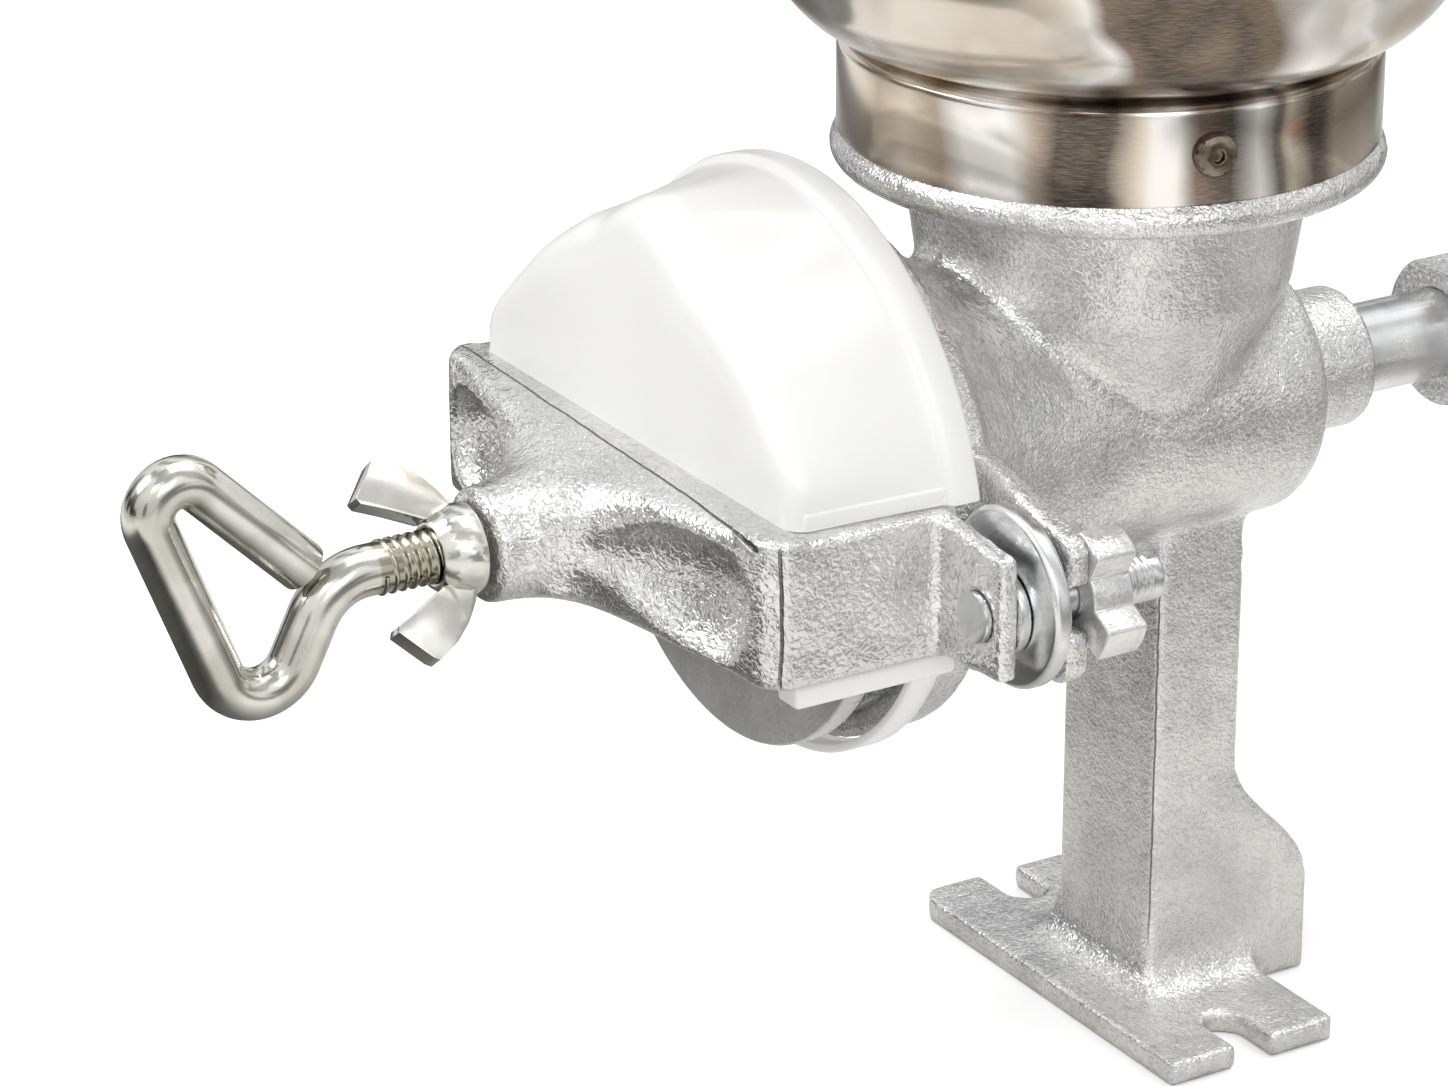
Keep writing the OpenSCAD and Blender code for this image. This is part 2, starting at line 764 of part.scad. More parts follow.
module yoke_nose() {
    turned() polygon([
        [0, yoke_nose_y], [yoke_boss_r - nose_edge, yoke_nose_y], [yoke_boss_r, yoke_nose_y + nose_edge],
        [yoke_boss_r, yoke_nose_y + yoke_nose_l / 3],
        [(yoke_boss_r + yoke_nose_r) / 2, yoke_nose_y + yoke_nose_l * 2 / 3],
        [yoke_nose_r, yoke_bar_y + over], [0, yoke_bar_y + over]
    ]);
}

// Flat ribs that spread from the nose to the bar
module yoke_ribs() {
    reach = yoke_bar_x * 2 / 3;
    translate([0, 0, axis_h - rib_web_t / 2]) linear_extrude(rib_web_t) polygon([
        [-reach, yoke_bar_y + over], [-yoke_boss_r * 1.7, yoke_bar_y - yoke_nose_l / 4],
        [-yoke_boss_r, yoke_bar_y - yoke_nose_l * 2 / 3],
        [yoke_boss_r, yoke_bar_y - yoke_nose_l * 2 / 3],
        [yoke_boss_r * 1.7, yoke_bar_y - yoke_nose_l / 4], [reach, yoke_bar_y + over]
    ]);
}

// The bar from above, with its front corners bevelled
module yoke_plan() {
    polygon([
        [-yoke_bar_x, yoke_bar_back_y], [-yoke_bar_x, yoke_bar_y + yoke_bevel], [-yoke_bar_x + yoke_bevel, yoke_bar_y],
        [yoke_bar_x - yoke_bevel, yoke_bar_y], [yoke_bar_x, yoke_bar_y + yoke_bevel], [yoke_bar_x, yoke_bar_back_y]
    ]);
}

// A pocket beside the nose, round at its outer end
module yoke_pocket() {
    r = (yoke_down + yoke_up) / 2 - pocket_rim;
    mid = axis_h + (yoke_up - yoke_down) / 2;
    end = yoke_bar_x - yoke_bevel - pocket_rim / 2 - r;
    along_y(yoke_bar_y - over, yoke_bar_y + pocket_d) {
        translate([end, mid]) circle(r);
        span([yoke_nose_r, mid - r], [end, mid + r]);
    }
}

module front_yoke() {
    low = axis_h - yoke_down;
    high = axis_h + yoke_up - strip_h;
    color(cast_grey) difference() {
        union() {
            difference() {
                translate([0, 0, low]) linear_extrude(high - low) yoke_plan();
                both_sides() yoke_pocket();
            }
            // Raised strip in front of the hood
            translate([0, 0, high - over]) linear_extrude(strip_h + over) intersection() {
                yoke_plan();
                span([-yoke_bar_x, yoke_bar_y], [yoke_bar_x, yoke_bar_y + hood_set_back]);
            }
            both_sides() translate([yoke_bar_x - yoke_arm_t, yoke_bar_back_y - over, low])
                cube([yoke_arm_t, arm_l + yoke_ear_t + over, high - low]);
            both_sides() along_y(yoke_ear_front_y, yoke_ear_back_y) polygon([
                [yoke_bar_x - yoke_arm_t, low], [yoke_ear_x, axis_h - yoke_ear_h],
                [yoke_ear_x, axis_h + yoke_ear_h], [yoke_bar_x - yoke_arm_t, high]
            ]);
            yoke_nose();
            yoke_ribs();
        }
        bar_y(screw_r + run_gap, yoke_nose_y - over, yoke_bar_back_y + over);
        both_sides() bar_y(stud_r, yoke_ear_front_y - over, yoke_ear_back_y + over, stud_x, stud_z);
    }
}

// Studs, stop discs and clamp nuts

module stud() {
    tail_y = ear_back_y + stud_tail;
    tip = 2.4;
    translate([0, 0, stud_z]) rotate([-90, 0, 0]) rotate_extrude() {
        span([0, yoke_ear_front_y - stud_head_t], [stud_head_r, yoke_ear_front_y]);
        span([0, yoke_ear_front_y - over], [stud_r, ear_back_y + over]);
        span([0, yoke_ear_back_y], [stud_collar_r, yoke_ear_back_y + stud_collar_t]);
        thread_profile(stud_thread_r, ear_back_y + face_gap, tail_y - tip, stud_pitch, stud_pitch / 3);
        polygon([
            [0, tail_y - tip - over], [stud_thread_r, tail_y - tip - over], [stud_thread_r, tail_y - tip / 2],
            [stud_thread_r - tip / 2, tail_y], [0, tail_y]
        ]);
    }
}

// The disc's hole lies below and outside its centre
module stop_disc() {
    edge = disc_t / 5;
    difference() {
        translate([-disc_in, 0, stud_z + disc_rise]) rotate([-90, 0, 0]) rotate_extrude() polygon([
            [0, disc_y], [disc_r - edge, disc_y], [disc_r, disc_y + edge],
            [disc_r, disc_y + disc_t - edge], [disc_r - edge, disc_y + disc_t], [0, disc_y + disc_t]
        ]);
        bar_y(stud_r + run_gap, disc_y - over, disc_y + disc_t + over, 0, stud_z);
    }
}

module clamp_nut() {
    y0 = ear_back_y + run_gap;
    difference() {
        union() {
            bar_y(nut_hub_r, y0, y0 + nut_t, 0, stud_z);
            intersection() {
                for (i = [0, 1]) translate([0, y0, stud_z]) rotate([0, -nut_turn + i * 90, 0])
                    translate([-nut_reach, 0, -nut_lug_w / 2]) cube([2 * nut_reach, nut_t, nut_lug_w]);
                bar_y(nut_reach, y0, y0 + nut_t, 0, stud_z);
            }
        }
        bar_y(stud_thread_r + run_gap, y0 - over, y0 + nut_t + over, 0, stud_z);
    }
}

module left_stud() { color(zinc) mirror([1, 0, 0]) translate([stud_x, 0, 0]) stud(); }
module right_stud() { color(zinc) translate([stud_x, 0, 0]) stud(); }
module left_stop_disc() { color(zinc) mirror([1, 0, 0]) translate([stud_x, 0, 0]) stop_disc(); }
module right_stop_disc() { color(zinc) translate([stud_x, 0, 0]) stop_disc(); }
module left_clamp_nut() { color(cast_grey) mirror([1, 0, 0]) translate([stud_x, 0, 0]) clamp_nut(); }
module right_clamp_nut() { color(cast_grey) translate([stud_x, 0, 0]) clamp_nut(); }

// Cover

arch_r = cup_r + arch_over;
hood_r = arch_r - hood_step;
hood_half_w = arch_r - hood_foot_in;
hood_crown_up = arch_r - hood_crown_drop;
hood_y = yoke_bar_y + hood_set_back;
hood_foot_up = yoke_up - strip_h + face_gap;
ring_back_y = ear_front_y - arch_gap;
rim_y = ring_back_y - arch_rim_l;

// Front outline of the hood as X and Z, in from its edge by inset and let down at the foot by drop
function hood_front(inset, drop) = let(
    w = hood_half_w - inset, up = hood_crown_up - hood_foot_up - inset + drop,
    z = axis_h + hood_foot_up - drop,
    half_shares = [[1, 0], [0.95, 0.12], [0.845, 0.26], [0.71, 0.41], [0.57, 0.56], [0.43, 0.7],
        [0.3, 0.825], [0.18, 0.925], [0.08, 0.98], [0, 1]]
) concat(
    [for (s = half_shares) [w * s[0], z + up * s[1]]],
    [for (i = [len(half_shares) - 2:-1:0]) [-w * half_shares[i][0], z + up * half_shares[i][1]]]
);

// Rear outline of the hood, an arch with as many points as the front
function hood_rear(inset, drop) = let(
    r = hood_r - inset, z0 = hood_foot_up - drop, start = asin(z0 / r), count = len(hood_front(0, 0)) - 1
) [for (i = [0:count]) let(a = start + i * (180 - 2 * start) / count)
    [r * cos(a), axis_h + r * sin(a)]];

// A skin lofted from the front outline to the rear arch, with its flat foot closed
module hood_body(inset, drop, y0, y1) {
    rings = 6;
    front = hood_front(inset, drop);
    rear = hood_rear(inset, drop);
    n = len(front);
    // The skin bulges a little between its ends
    points = [for (k = [0:rings]) let(t = k / rings, b = t * t * (3 - 2 * t)) for (i = [0:n - 1])
        let(p = front[i] * (1 - b) + rear[i] * b) [p[0], y0 + (y1 - y0) * t, p[1]]];
    sides = [for (k = [0:rings - 1]) for (i = [0:n - 1]) let(
        a = k * n + i, b = k * n + (i + 1) % n
    ) each [[a, b + n, a + n], [a, b, b + n]]];
    // The ends are closed by level strips between mirrored points
    top = (n - 1) / 2;
    strips = [for (i = [0:top - 2]) for (s = [[i, i + 1, n - 2 - i], [i, n - 2 - i, n - 1 - i]]) s];
    rear_cap = concat(strips, [[top - 1, top, top + 1]]);
    caps = [for (s = rear_cap) each [[s[2], s[1], s[0]], [for (j = s) rings * n + j]]];
    polyhedron(points, concat(sides, caps));
}

// The ring that hugs the cup and the raised arch above it
module cover_rim() {
    inner = cup_r + ring_gap;
    along_y(rim_y, ring_back_y) difference() {
        union() {
            translate([0, axis_h]) circle(inner + cover_wall);
            intersection() {
                translate([0, axis_h]) circle(arch_r);
                span([-arch_r, axis_h + hood_foot_up], [arch_r, axis_h + arch_r]);
            }
        }
        translate([0, axis_h]) circle(inner);
        intersection() {
            translate([0, axis_h]) circle(arch_r - cover_wall);
            span([-arch_r, axis_h + hood_foot_up + cover_wall], [arch_r, axis_h + arch_r]);
        }
    }
    // The rim's back wall
    along_y(ring_back_y - cover_wall, ring_back_y) difference() {
        intersection() {
            translate([0, axis_h]) circle(arch_r);
            span([-arch_r, axis_h + hood_foot_up], [arch_r, axis_h + arch_r]);
        }
        translate([0, axis_h]) circle(inner);
    }
}

skirt_x = yoke_bar_x - yoke_arm_t - face_gap - skirt_t;

module cover_skirt() {
    low = axis_h - yoke_down - face_gap - rail_h;
    translate([skirt_x, yoke_bar_back_y + face_gap, low])
        cube([skirt_t, rim_y - yoke_bar_back_y, axis_h + hood_foot_up + cover_wall - low]);
    // The rail under the arm
    translate([skirt_x, hood_y, low]) cube([yoke_arm_t, rim_y + cover_wall - hood_y, rail_h]);
}

module plate_cover() {
    color("white") union() {
        difference() {
            hood_body(0, 0, hood_y, rim_y + over);
            // The hood's foot is open over the plates
            hood_body(cover_wall, over, hood_y + cover_wall, rim_y + 2 * over);
        }
        cover_rim();
        both_sides() cover_skirt();
    }
}

// Adjusting screw

function unit(v) = v / norm(v);

// The arc that rounds the corner p1, as n + 1 points
function corner(p0, p1, p2, r, n) = let(
    u = unit(p0 - p1), w = unit(p2 - p1), half = acos(u * w) / 2,
    reach = r / tan(half), centre = p1 + unit(u + w) * r / sin(half),
    s = p1 + u * reach - centre, e = p1 + w * reach - centre, th = 180 - 2 * half
) [for (i = [0:n]) centre + (s * sin((n - i) * th / n) + e * sin(i * th / n)) / sin(th)];

// The handle's middle line as Y and Z, from inside the thread round to the free end: shares of the
// loop's reach with shares of its rise, or of its drop where they are negative
loop_shares = [[-0.02, 0], [0.187, 0], [0.524, -1.641], [1.131, 1.672], [0.291, 0.134]];
loop_line = [for (s = loop_shares)
    [screw_start_y - loop_reach * s[0], axis_h + (s[1] < 0 ? loop_drop : loop_rise) * s[1]]];
bend_shares = [0, 1.4, 0.97, 0.68, 0];

module rod_along(line, radii, r) {
    sides = 16;
    steps = 12;
    last = len(line) - 1;
    path = concat(
        [line[0]],
        [for (i = [1:last - 1]) each corner(line[i - 1], line[i], line[i + 1], radii[i], steps)],
        [line[last]]
    );
    n = len(path);
    rings = [for (i = [0:n - 1]) let(
        d = unit(path[min(i + 1, n - 1)] - path[max(i - 1, 0)]), side = [-d[1], d[0]]
    ) for (j = [0:sides - 1]) let(a = 360 * j / sides, q = path[i] + r * cos(a) * side)
        [r * sin(a), q[0], q[1]]];
    faces = [for (i = [0:n - 2]) for (j = [0:sides - 1]) let(
        a = i * sides + j, b = i * sides + (j + 1) % sides
    ) each [[a, b + sides, b], [a, a + sides, b + sides]]];
    polyhedron(rings, concat(
        faces, [[for (j = [0:sides - 1]) j]], [[for (j = [sides - 1:-1:0]) (n - 1) * sides + j]]
    ));
}

module adjusting_screw() {
    color("gainsboro") union() {
        turned() thread_profile(screw_r, screw_start_y, screw_tip_y, screw_pitch, thread_d);
        rod_along(loop_line, bend_shares * loop_bend_r, rod_r);
    }
}

// Wing nut

module wing() {
    y = wing_back_y;
    // Outline as shares of the span and of the sweep
    shares = [[0.33, 0.16], [0.42, 0.08], [0.56, 0.16], [0.72, 0.28], [0.87, 0.45], [1, 0.68],
        [0.96, 0.74], [0.66, 1], [0.6, 0.97], [0.49, 0.72], [0.38, 0.5], [0.33, 0.4]];
    translate([0, 0, -wing_t / 2]) linear_extrude(wing_t)
        polygon([for (s = shares) [wing_span * s[0], y - wing_sweep * s[1]]]);
}

module lock_wing_nut() {
    y = wing_back_y;
    color("gainsboro") difference() {
        union() {
            turned() polygon([
                [0, y - wing_hub_l], [wing_hub_r * 0.72, y - wing_hub_l],
                [wing_hub_r * 0.9, y - wing_hub_l * 0.75], [wing_hub_r, y - wing_hub_l * 0.4],
                [wing_hub_r, y], [0, y]
            ]);
            for (s = [0, 180]) translate([0, 0, axis_h]) rotate([0, -wing_turn + s, 0]) wing();
        }
        bar_y(screw_r + run_gap, y - wing_hub_l - over, y + over);
    }
}

// Hopper

module hopper_collar() {
    edge = 2 * sheet_t;
    color("gainsboro") difference() {
        translate([0, neck_y, 0]) rotate_extrude() {
            span([collar_r - sheet_t, collar_z], [collar_r, bowl_z - edge]);
            polygon([
                [collar_r - sheet_t, bowl_z - edge - over], [collar_r, bowl_z - edge],
                [collar_r - edge / 2, bowl_z - edge / 4], [collar_r - edge, bowl_z],
                [collar_r - 4 * sheet_t, bowl_z], [collar_r - 4 * sheet_t, bowl_z - sheet_t],
                [collar_r - sheet_t, bowl_z - edge]
            ]);
        }
        at_collar_screws() out_bar(collar_shank_r + run_gap, collar_r - 2 * sheet_t, collar_r + over);
        // The small half-round notch in the collar's lower edge
        translate([0, neck_y, collar_z]) rotate([0, 0, collar_screw_turn + notch_turn])
            out_bar(sheet_t * 2, collar_r - 2 * sheet_t, collar_r + over);
    }
}

notch_turn = 16;

// The bowl's wall as radius and height: a short ring inside the collar's lip, the belly and the side
bowl_ring_r = collar_r - 4 * sheet_t - run_gap;
bowl_ring_l = (collar_h - spigot_l) / 2;

module bowl_profile() {
    bend = bowl_bend_r;
    top = bowl_z + bowl_h;
    belly_shares = [[0.1, 0.06], [0.3, 0.12], [0.52, 0.26], [0.74, 0.5], [0.88, 0.78]];
    outer = concat(
        [[bowl_ring_r, bowl_z]],
        [for (s = belly_shares) [bowl_ring_r + bend * s[0], bowl_z + bend * s[1]]],
        [[bowl_r - bowl_h / 24, bowl_z + bend * 1.2], [bowl_r, bowl_z + bend * 1.9], [bowl_r, top]]
    );
    last = len(outer) - 1;
    inner = [for (i = [last:-1:0]) outer[i] + [-sheet_t, i > last - 3 ? 0 : sheet_t * 0.8]];
    polygon(concat(outer, inner));
    span([bowl_ring_r - sheet_t, bowl_z - bowl_ring_l], [bowl_ring_r, bowl_z + sheet_t * 0.8]);
    translate([bowl_r, top]) circle(rim_r);
}

module hopper_bowl() {
    color("gainsboro") translate([0, neck_y, 0]) rotate_extrude() bowl_profile();
}

module collar_screws() {
    color(zinc) at_collar_screws() difference() {
        union() {
            out_bar(collar_shank_r - run_gap, spigot_r - spigot_wall + run_gap, collar_r + over);
            translate([collar_r + run_gap, 0, 0]) rotate([0, 90, 0]) rotate_extrude() polygon([
                [0, 0], [collar_head_r, 0], [collar_head_r, collar_head_t / 3],
                [collar_head_r * 0.85, collar_head_t * 0.75], [collar_head_r * 0.6, collar_head_t],
                [0, collar_head_t]
            ]);
        }
        out_bar(collar_shank_r * 0.6, collar_r + collar_head_t / 3, collar_r + 2 * collar_head_t);
    }
}

// Crank

grip_seat_y = crank_back_y;
arm_y = crank_back_y - arm_t;

module crank_arm() {
    end_r = arm_end_w / 2;
    color(cast_grey) difference() {
        union() {
            bar_y(crank_hub_r, crank_front_y, crank_back_y);
            bar_y(end_r, arm_y, crank_back_y, crank_l);
            along_y(arm_y, crank_back_y) polygon([
                [0, axis_h - arm_root_w / 2], [crank_l, axis_h - end_r],
                [crank_l, axis_h + end_r], [0, axis_h + arm_root_w / 2]
            ]);
        }
        bar_y(shaft_r + run_gap, crank_front_y - over, crank_back_y + over);
        bar_y(bolt_r + run_gap, arm_y - over, crank_back_y + over, crank_l);
        // Flat for the set screw
        translate([-crank_hub_r, crank_front_y - over, axis_h + crank_flat_up])
            cube([2 * crank_hub_r, crank_hub_t + 2 * over, crank_hub_r]);
        translate([0, crank_front_y + crank_hub_t / 2, axis_h]) cylinder(r = set_screw_r, h = crank_hub_r);
    }
}

set_screw_proud = 1;

module crank_set_screw() {
    foot_z = axis_h + shaft_r - shaft_flat_d + run_gap;
    top_z = axis_h + crank_flat_up + set_screw_proud;
    color(zinc) translate([0, crank_front_y + crank_hub_t / 2, 0]) difference() {
        translate([0, 0, foot_z]) cylinder(r = set_screw_r - run_gap, h = top_z - foot_z);
        translate([-set_screw_r, -driver_slot_w / 2, top_z - set_screw_proud])
            cube([2 * set_screw_r, driver_slot_w, set_screw_proud + over]);
    }
}

// Grip

washer_y = grip_seat_y + run_gap;
grip_y = washer_y + washer_t + face_gap;
grip_end_y = grip_y + grip_l;
bolt_head_t = 4;
bolt_head_r = 7;
head_sink = 6;

module grip_bolt() {
    color(zinc) union() {
        bar_y(bolt_r, arm_y - grip_nut_t - washer_t, grip_end_y - head_sink + bolt_head_t / 2, crank_l);
        bar_y(bolt_head_r, grip_end_y - head_sink + run_gap, grip_end_y - head_sink + bolt_head_t, crank_l);
    }
}

module grip_washer() {
    color(zinc) difference() {
        bar_y(washer_r, washer_y, washer_y + washer_t, crank_l);
        bar_y(bolt_r + run_gap, washer_y - over, washer_y + washer_t + over, crank_l);
    }
}

module grip_nut() {
    color(zinc) difference() {
        translate([crank_l, arm_y - run_gap - grip_nut_t, axis_h]) rotate([-90, 0, 0])
            cylinder(r = grip_nut_af / sqrt(3), h = grip_nut_t, $fn = 6);
        bar_y(bolt_r + run_gap, arm_y - 2 * grip_nut_t, arm_y + over, crank_l);
    }
}

module grip() {
    l = grip_l;
    shares = [[0, 0.72], [0.03, 0.84], [0.08, 0.86], [0.13, 0.8], [0.22, 0.8], [0.4, 0.93], [0.58, 1],
        [0.76, 0.97], [0.88, 0.88], [0.95, 0.76], [0.99, 0.6], [1, 0.52]];
    color("burlywood") translate([crank_l, 0, axis_h]) rotate([-90, 0, 0]) rotate_extrude() difference() {
        polygon(concat(
            [[0, grip_y]], [for (s = shares) [grip_r * s[1], grip_y + l * s[0]]], [[0, grip_end_y]]
        ));
        span([-over, grip_y - over], [bolt_r + 2 * run_gap, grip_end_y + over]);
        span([-over, grip_end_y - head_sink - run_gap], [bolt_head_r + face_gap, grip_end_y + over]);
    }
}

body_casting();
fixed_plate();
fixed_plate_screws();
front_yoke();
left_stud();
right_stud();
left_stop_disc();
right_stop_disc();
left_clamp_nut();
right_clamp_nut();
plate_cover();
hopper_collar();
hopper_bowl();
collar_screws();
auger();
plate_holder();
rotating_plate();
drive_pin();
thrust_ball();
adjusting_screw();
lock_wing_nut();
crank_arm();
crank_set_screw();
grip_bolt();
grip_washer();
grip_nut();
grip();
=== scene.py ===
# %% [markdown]
# # Hand grain mill
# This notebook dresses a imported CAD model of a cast, table-bolted grain mill. The CAD model is the fixed frame: it
# gives each piece its place and its motion. Blender gives each piece the surface that a camera would see.
# Blender works in metres. Sizes are written in millimetres here, as on a workshop drawing, and MM turns them into
# metres. +Z is up, and the shaft lies along Y with the crank at +Y.

# %% Load the frame
from contextlib import contextmanager
import math

import bpy
import numpy as np
from mathutils import Matrix, Vector


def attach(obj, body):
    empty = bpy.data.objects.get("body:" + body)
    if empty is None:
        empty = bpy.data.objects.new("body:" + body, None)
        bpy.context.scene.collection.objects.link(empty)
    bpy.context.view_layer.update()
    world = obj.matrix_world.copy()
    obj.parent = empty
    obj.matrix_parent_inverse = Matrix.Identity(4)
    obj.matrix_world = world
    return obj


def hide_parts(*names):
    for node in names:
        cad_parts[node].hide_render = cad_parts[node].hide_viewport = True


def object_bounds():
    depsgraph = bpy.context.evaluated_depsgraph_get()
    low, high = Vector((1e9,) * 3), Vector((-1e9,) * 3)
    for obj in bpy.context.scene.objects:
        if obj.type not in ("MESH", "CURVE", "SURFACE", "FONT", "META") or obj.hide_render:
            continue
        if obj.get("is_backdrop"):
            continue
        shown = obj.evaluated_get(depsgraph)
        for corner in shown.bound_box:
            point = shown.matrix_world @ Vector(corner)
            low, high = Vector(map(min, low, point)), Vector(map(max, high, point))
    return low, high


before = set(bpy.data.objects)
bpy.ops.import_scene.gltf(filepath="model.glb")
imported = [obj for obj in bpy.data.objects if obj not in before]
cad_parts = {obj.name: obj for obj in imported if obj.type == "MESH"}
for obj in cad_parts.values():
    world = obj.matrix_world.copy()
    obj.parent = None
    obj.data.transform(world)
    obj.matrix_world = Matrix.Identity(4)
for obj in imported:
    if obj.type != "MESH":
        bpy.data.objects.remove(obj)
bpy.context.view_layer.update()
MM = 0.001
AXIS_Z = 145.5  # height of the shaft's axis over the foot's underside

# %% [markdown]
# ## The camera
# The photograph was taken with a long lens from the front right and from above. A camera could be placed by eye, but
# then no edge of the render would lie on the same edge of the photograph. This one's place and turn were worked out
# from the straight and round edges of the mill.

# %% Camera
AZIMUTH, ELEVATION, ROLL = 58.943, 22.131, -0.110  # in degrees
AIM = Vector((0, -171, AXIS_Z))
DISTANCE, SLIDE_RIGHT, SLIDE_UP = 1093.18, 52.877, 0.755
SENSOR, LENS = 36, 129.28
FAR_CLIP = 20  # in metres

turn, rise, roll = (math.radians(v) for v in (AZIMUTH, ELEVATION, ROLL))
back = Vector((math.sin(turn) * math.cos(rise), -math.cos(turn) * math.cos(rise), math.sin(rise)))
level = Vector((math.cos(turn), math.sin(turn), 0))
upright = back.cross(level)
right = level * math.cos(roll) + upright * math.sin(roll)
up = upright * math.cos(roll) - level * math.sin(roll)
eye = AIM + back * DISTANCE + right * SLIDE_RIGHT + up * SLIDE_UP

bpy.ops.object.camera_add()
camera = bpy.context.object
camera.data.sensor_width, camera.data.lens, camera.data.clip_end = SENSOR, LENS, FAR_CLIP
camera.matrix_world = Matrix.Translation(eye * MM) @ Matrix((right, up, back)).transposed().to_4x4()
bpy.context.scene.camera = camera
bpy.context.scene.view_settings.view_transform = "Standard"
print("camera at, mm:", [round(v) for v in eye])

# %% [markdown]
# ## Sums on shader sockets
# A finish is a sum of patterns. It could be wired by hand as a web of nodes, but a sum is easier to read and to
# change. The small class below wraps one socket. Adding or multiplying two wires adds a Math node to the tree and
# gives back its output.

# %% Wires
class Wire:
    """One output of a shader tree, on which sums can be written."""

    def __init__(self, owner, socket):
        self.owner, self.socket = owner, socket

    def math(self, operation, *others, before=()):
        """A Math node on this wire and the others, in their order."""
        return self.owner.node("ShaderNodeMath", {"operation": operation}, dict(enumerate((*before, self, *others))))

    def __add__(self, other):
        return self.math("ADD", other)

    def __mul__(self, other):
        return self.math("MULTIPLY", other)

    def __sub__(self, other):
        return self.math("SUBTRACT", other)

    def __rsub__(self, other):
        return self.math("SUBTRACT", before=(other,))

    __radd__ = __add__
    __rmul__ = __mul__

    def between(self, low, high):
        """0 at low and under, 1 at high and over, smooth on the way."""
        return self.owner.node(
            "ShaderNodeMapRange", {"interpolation_type": "SMOOTHSTEP", "clamp": True},
            {"Value": self, "From Min": low, "From Max": high})


# %% Shader trees
def set_stops(ramp, stops):
    """Gives a ramp its stops, each a place from 0 to 1 and a colour."""
    while len(ramp.elements) < len(stops):
        ramp.elements.new(0.5)
    for element, (place, colour) in zip(ramp.elements, stops):
        element.position, element.color = place, (*colour, 1)


class Tree:
    """A node tree, written with wires."""

    def __init__(self, tree, coordinates):
        self.tree = tree
        self.place = self.node("ShaderNodeTexCoord", {}, {}, coordinates)

    def node(self, kind, settings, sockets, output=0):
        """Adds a node with its settings, then the value or wire of each socket, and gives one of its outputs."""
        made = self.tree.nodes.new(kind)
        for key, value in settings.items():
            if key == "stops":
                set_stops(made.color_ramp, value)
            else:
                setattr(made, key, value)
        for key, value in sockets.items():
            self.feed(made.inputs[key], value)
        return Wire(self, made.outputs[output]) if made.outputs else None

    def feed(self, socket, value):
        """Gives a socket a wire, a colour of three numbers or a plain value."""
        if isinstance(value, Wire):
            self.tree.links.new(value.socket, socket)
        elif isinstance(value, tuple) and len(value) == 3 and socket.type == "RGBA":
            socket.default_value = (*value, 1)
        else:
            socket.default_value = value

    def axes(self):
        """The three coordinates of the place."""
        split = self.node("ShaderNodeSeparateXYZ", {}, {0: self.place})
        return [Wire(self, output) for output in split.socket.node.outputs]

    def stretched(self, x, y, z):
        """The place times a share for each axis: a share under 1 stretches a pattern along that axis."""
        return self.node("ShaderNodeVectorMath", {"operation": "MULTIPLY"}, {0: self.place, 1: (x, y, z)})

    def noise(self, grain, detail=2.0, rough=0.5, where=None, warp=0.0):
        """Soft noise whose lumps are about one grain wide, in millimetres."""
        return self.node("ShaderNodeTexNoise", {}, {
            "Vector": where or self.place, "Scale": 1 / (grain * MM), "Detail": detail,
            "Roughness": rough, "Distortion": warp})

    def blend(self, mask, low, high):
        """One colour where the mask is 0, the other where it is 1."""
        return self.node("ShaderNodeMix", {"data_type": "RGBA"}, {0: mask, 6: low, 7: high}, 2)

    def ramp(self, where, stops):
        """A colour for each place from 0 to 1."""
        return self.node("ShaderNodeValToRGB", {"stops": stops}, {0: where})


# %% Finishes
class Finish(Tree):
    """A material with one Principled shader."""

    def __init__(self, name, **plain):
        self.material = bpy.data.materials.new(name)
        self.material.use_nodes = True
        super().__init__(self.material.node_tree, "Object")
        self.shader = next(node for node in self.tree.nodes if node.type == "BSDF_PRINCIPLED")
        self.set(**plain)

    def set(self, **sockets):
        """Feeds the shader's sockets, named in small letters."""
        for key, value in sockets.items():
            self.feed(self.shader.inputs[key.replace("_", " ").title().replace("Ior", "IOR")], value)

    def relief(self, height, depth, strength=1.0):
        """Raises the surface by a height of 0 to 1, times depth in millimetres."""
        self.set(normal=self.node("ShaderNodeBump", {}, {
            "Strength": strength, "Distance": depth * MM, "Height": height}, "Normal"))


# %% [markdown]
# ## Seams of the mould
# Where two halves of a mould meet, a little iron runs into the gap and leaves a seam. The yoke has one along its top
# and one down each front corner, and the body has one down the pillar. A seam could be cut into the mesh, but it is
# thinner than the mesh is fine. So it is a mask in the material, which darkens and lowers the skin on a thin line.

# %% Seams
SEAM_CORE, SEAM_EDGE = 0.10, 0.38  # half widths of the seam, where it is full and where it ends
TOP_SEAM_Y, TOP_SEAM_LEAN, BAR_TOP = -138.4, 0.035, AXIS_Z + 15
CORNER_SEAM_Y, BAR_END = -136.9, 69.6
PILLAR_X, PILLAR_Y = 19.5, -6.7  # front right corner of the pillar
PILLAR_FOOT, PILLAR_HEAD = (14, 26), (100, 114)  # heights over which the pillar's seam begins and ends


def seam_at(off):
    """1 on a thin line where the distance off it is 0."""
    return 1 - off.math("ABSOLUTE").between(SEAM_CORE * MM, SEAM_EDGE * MM)


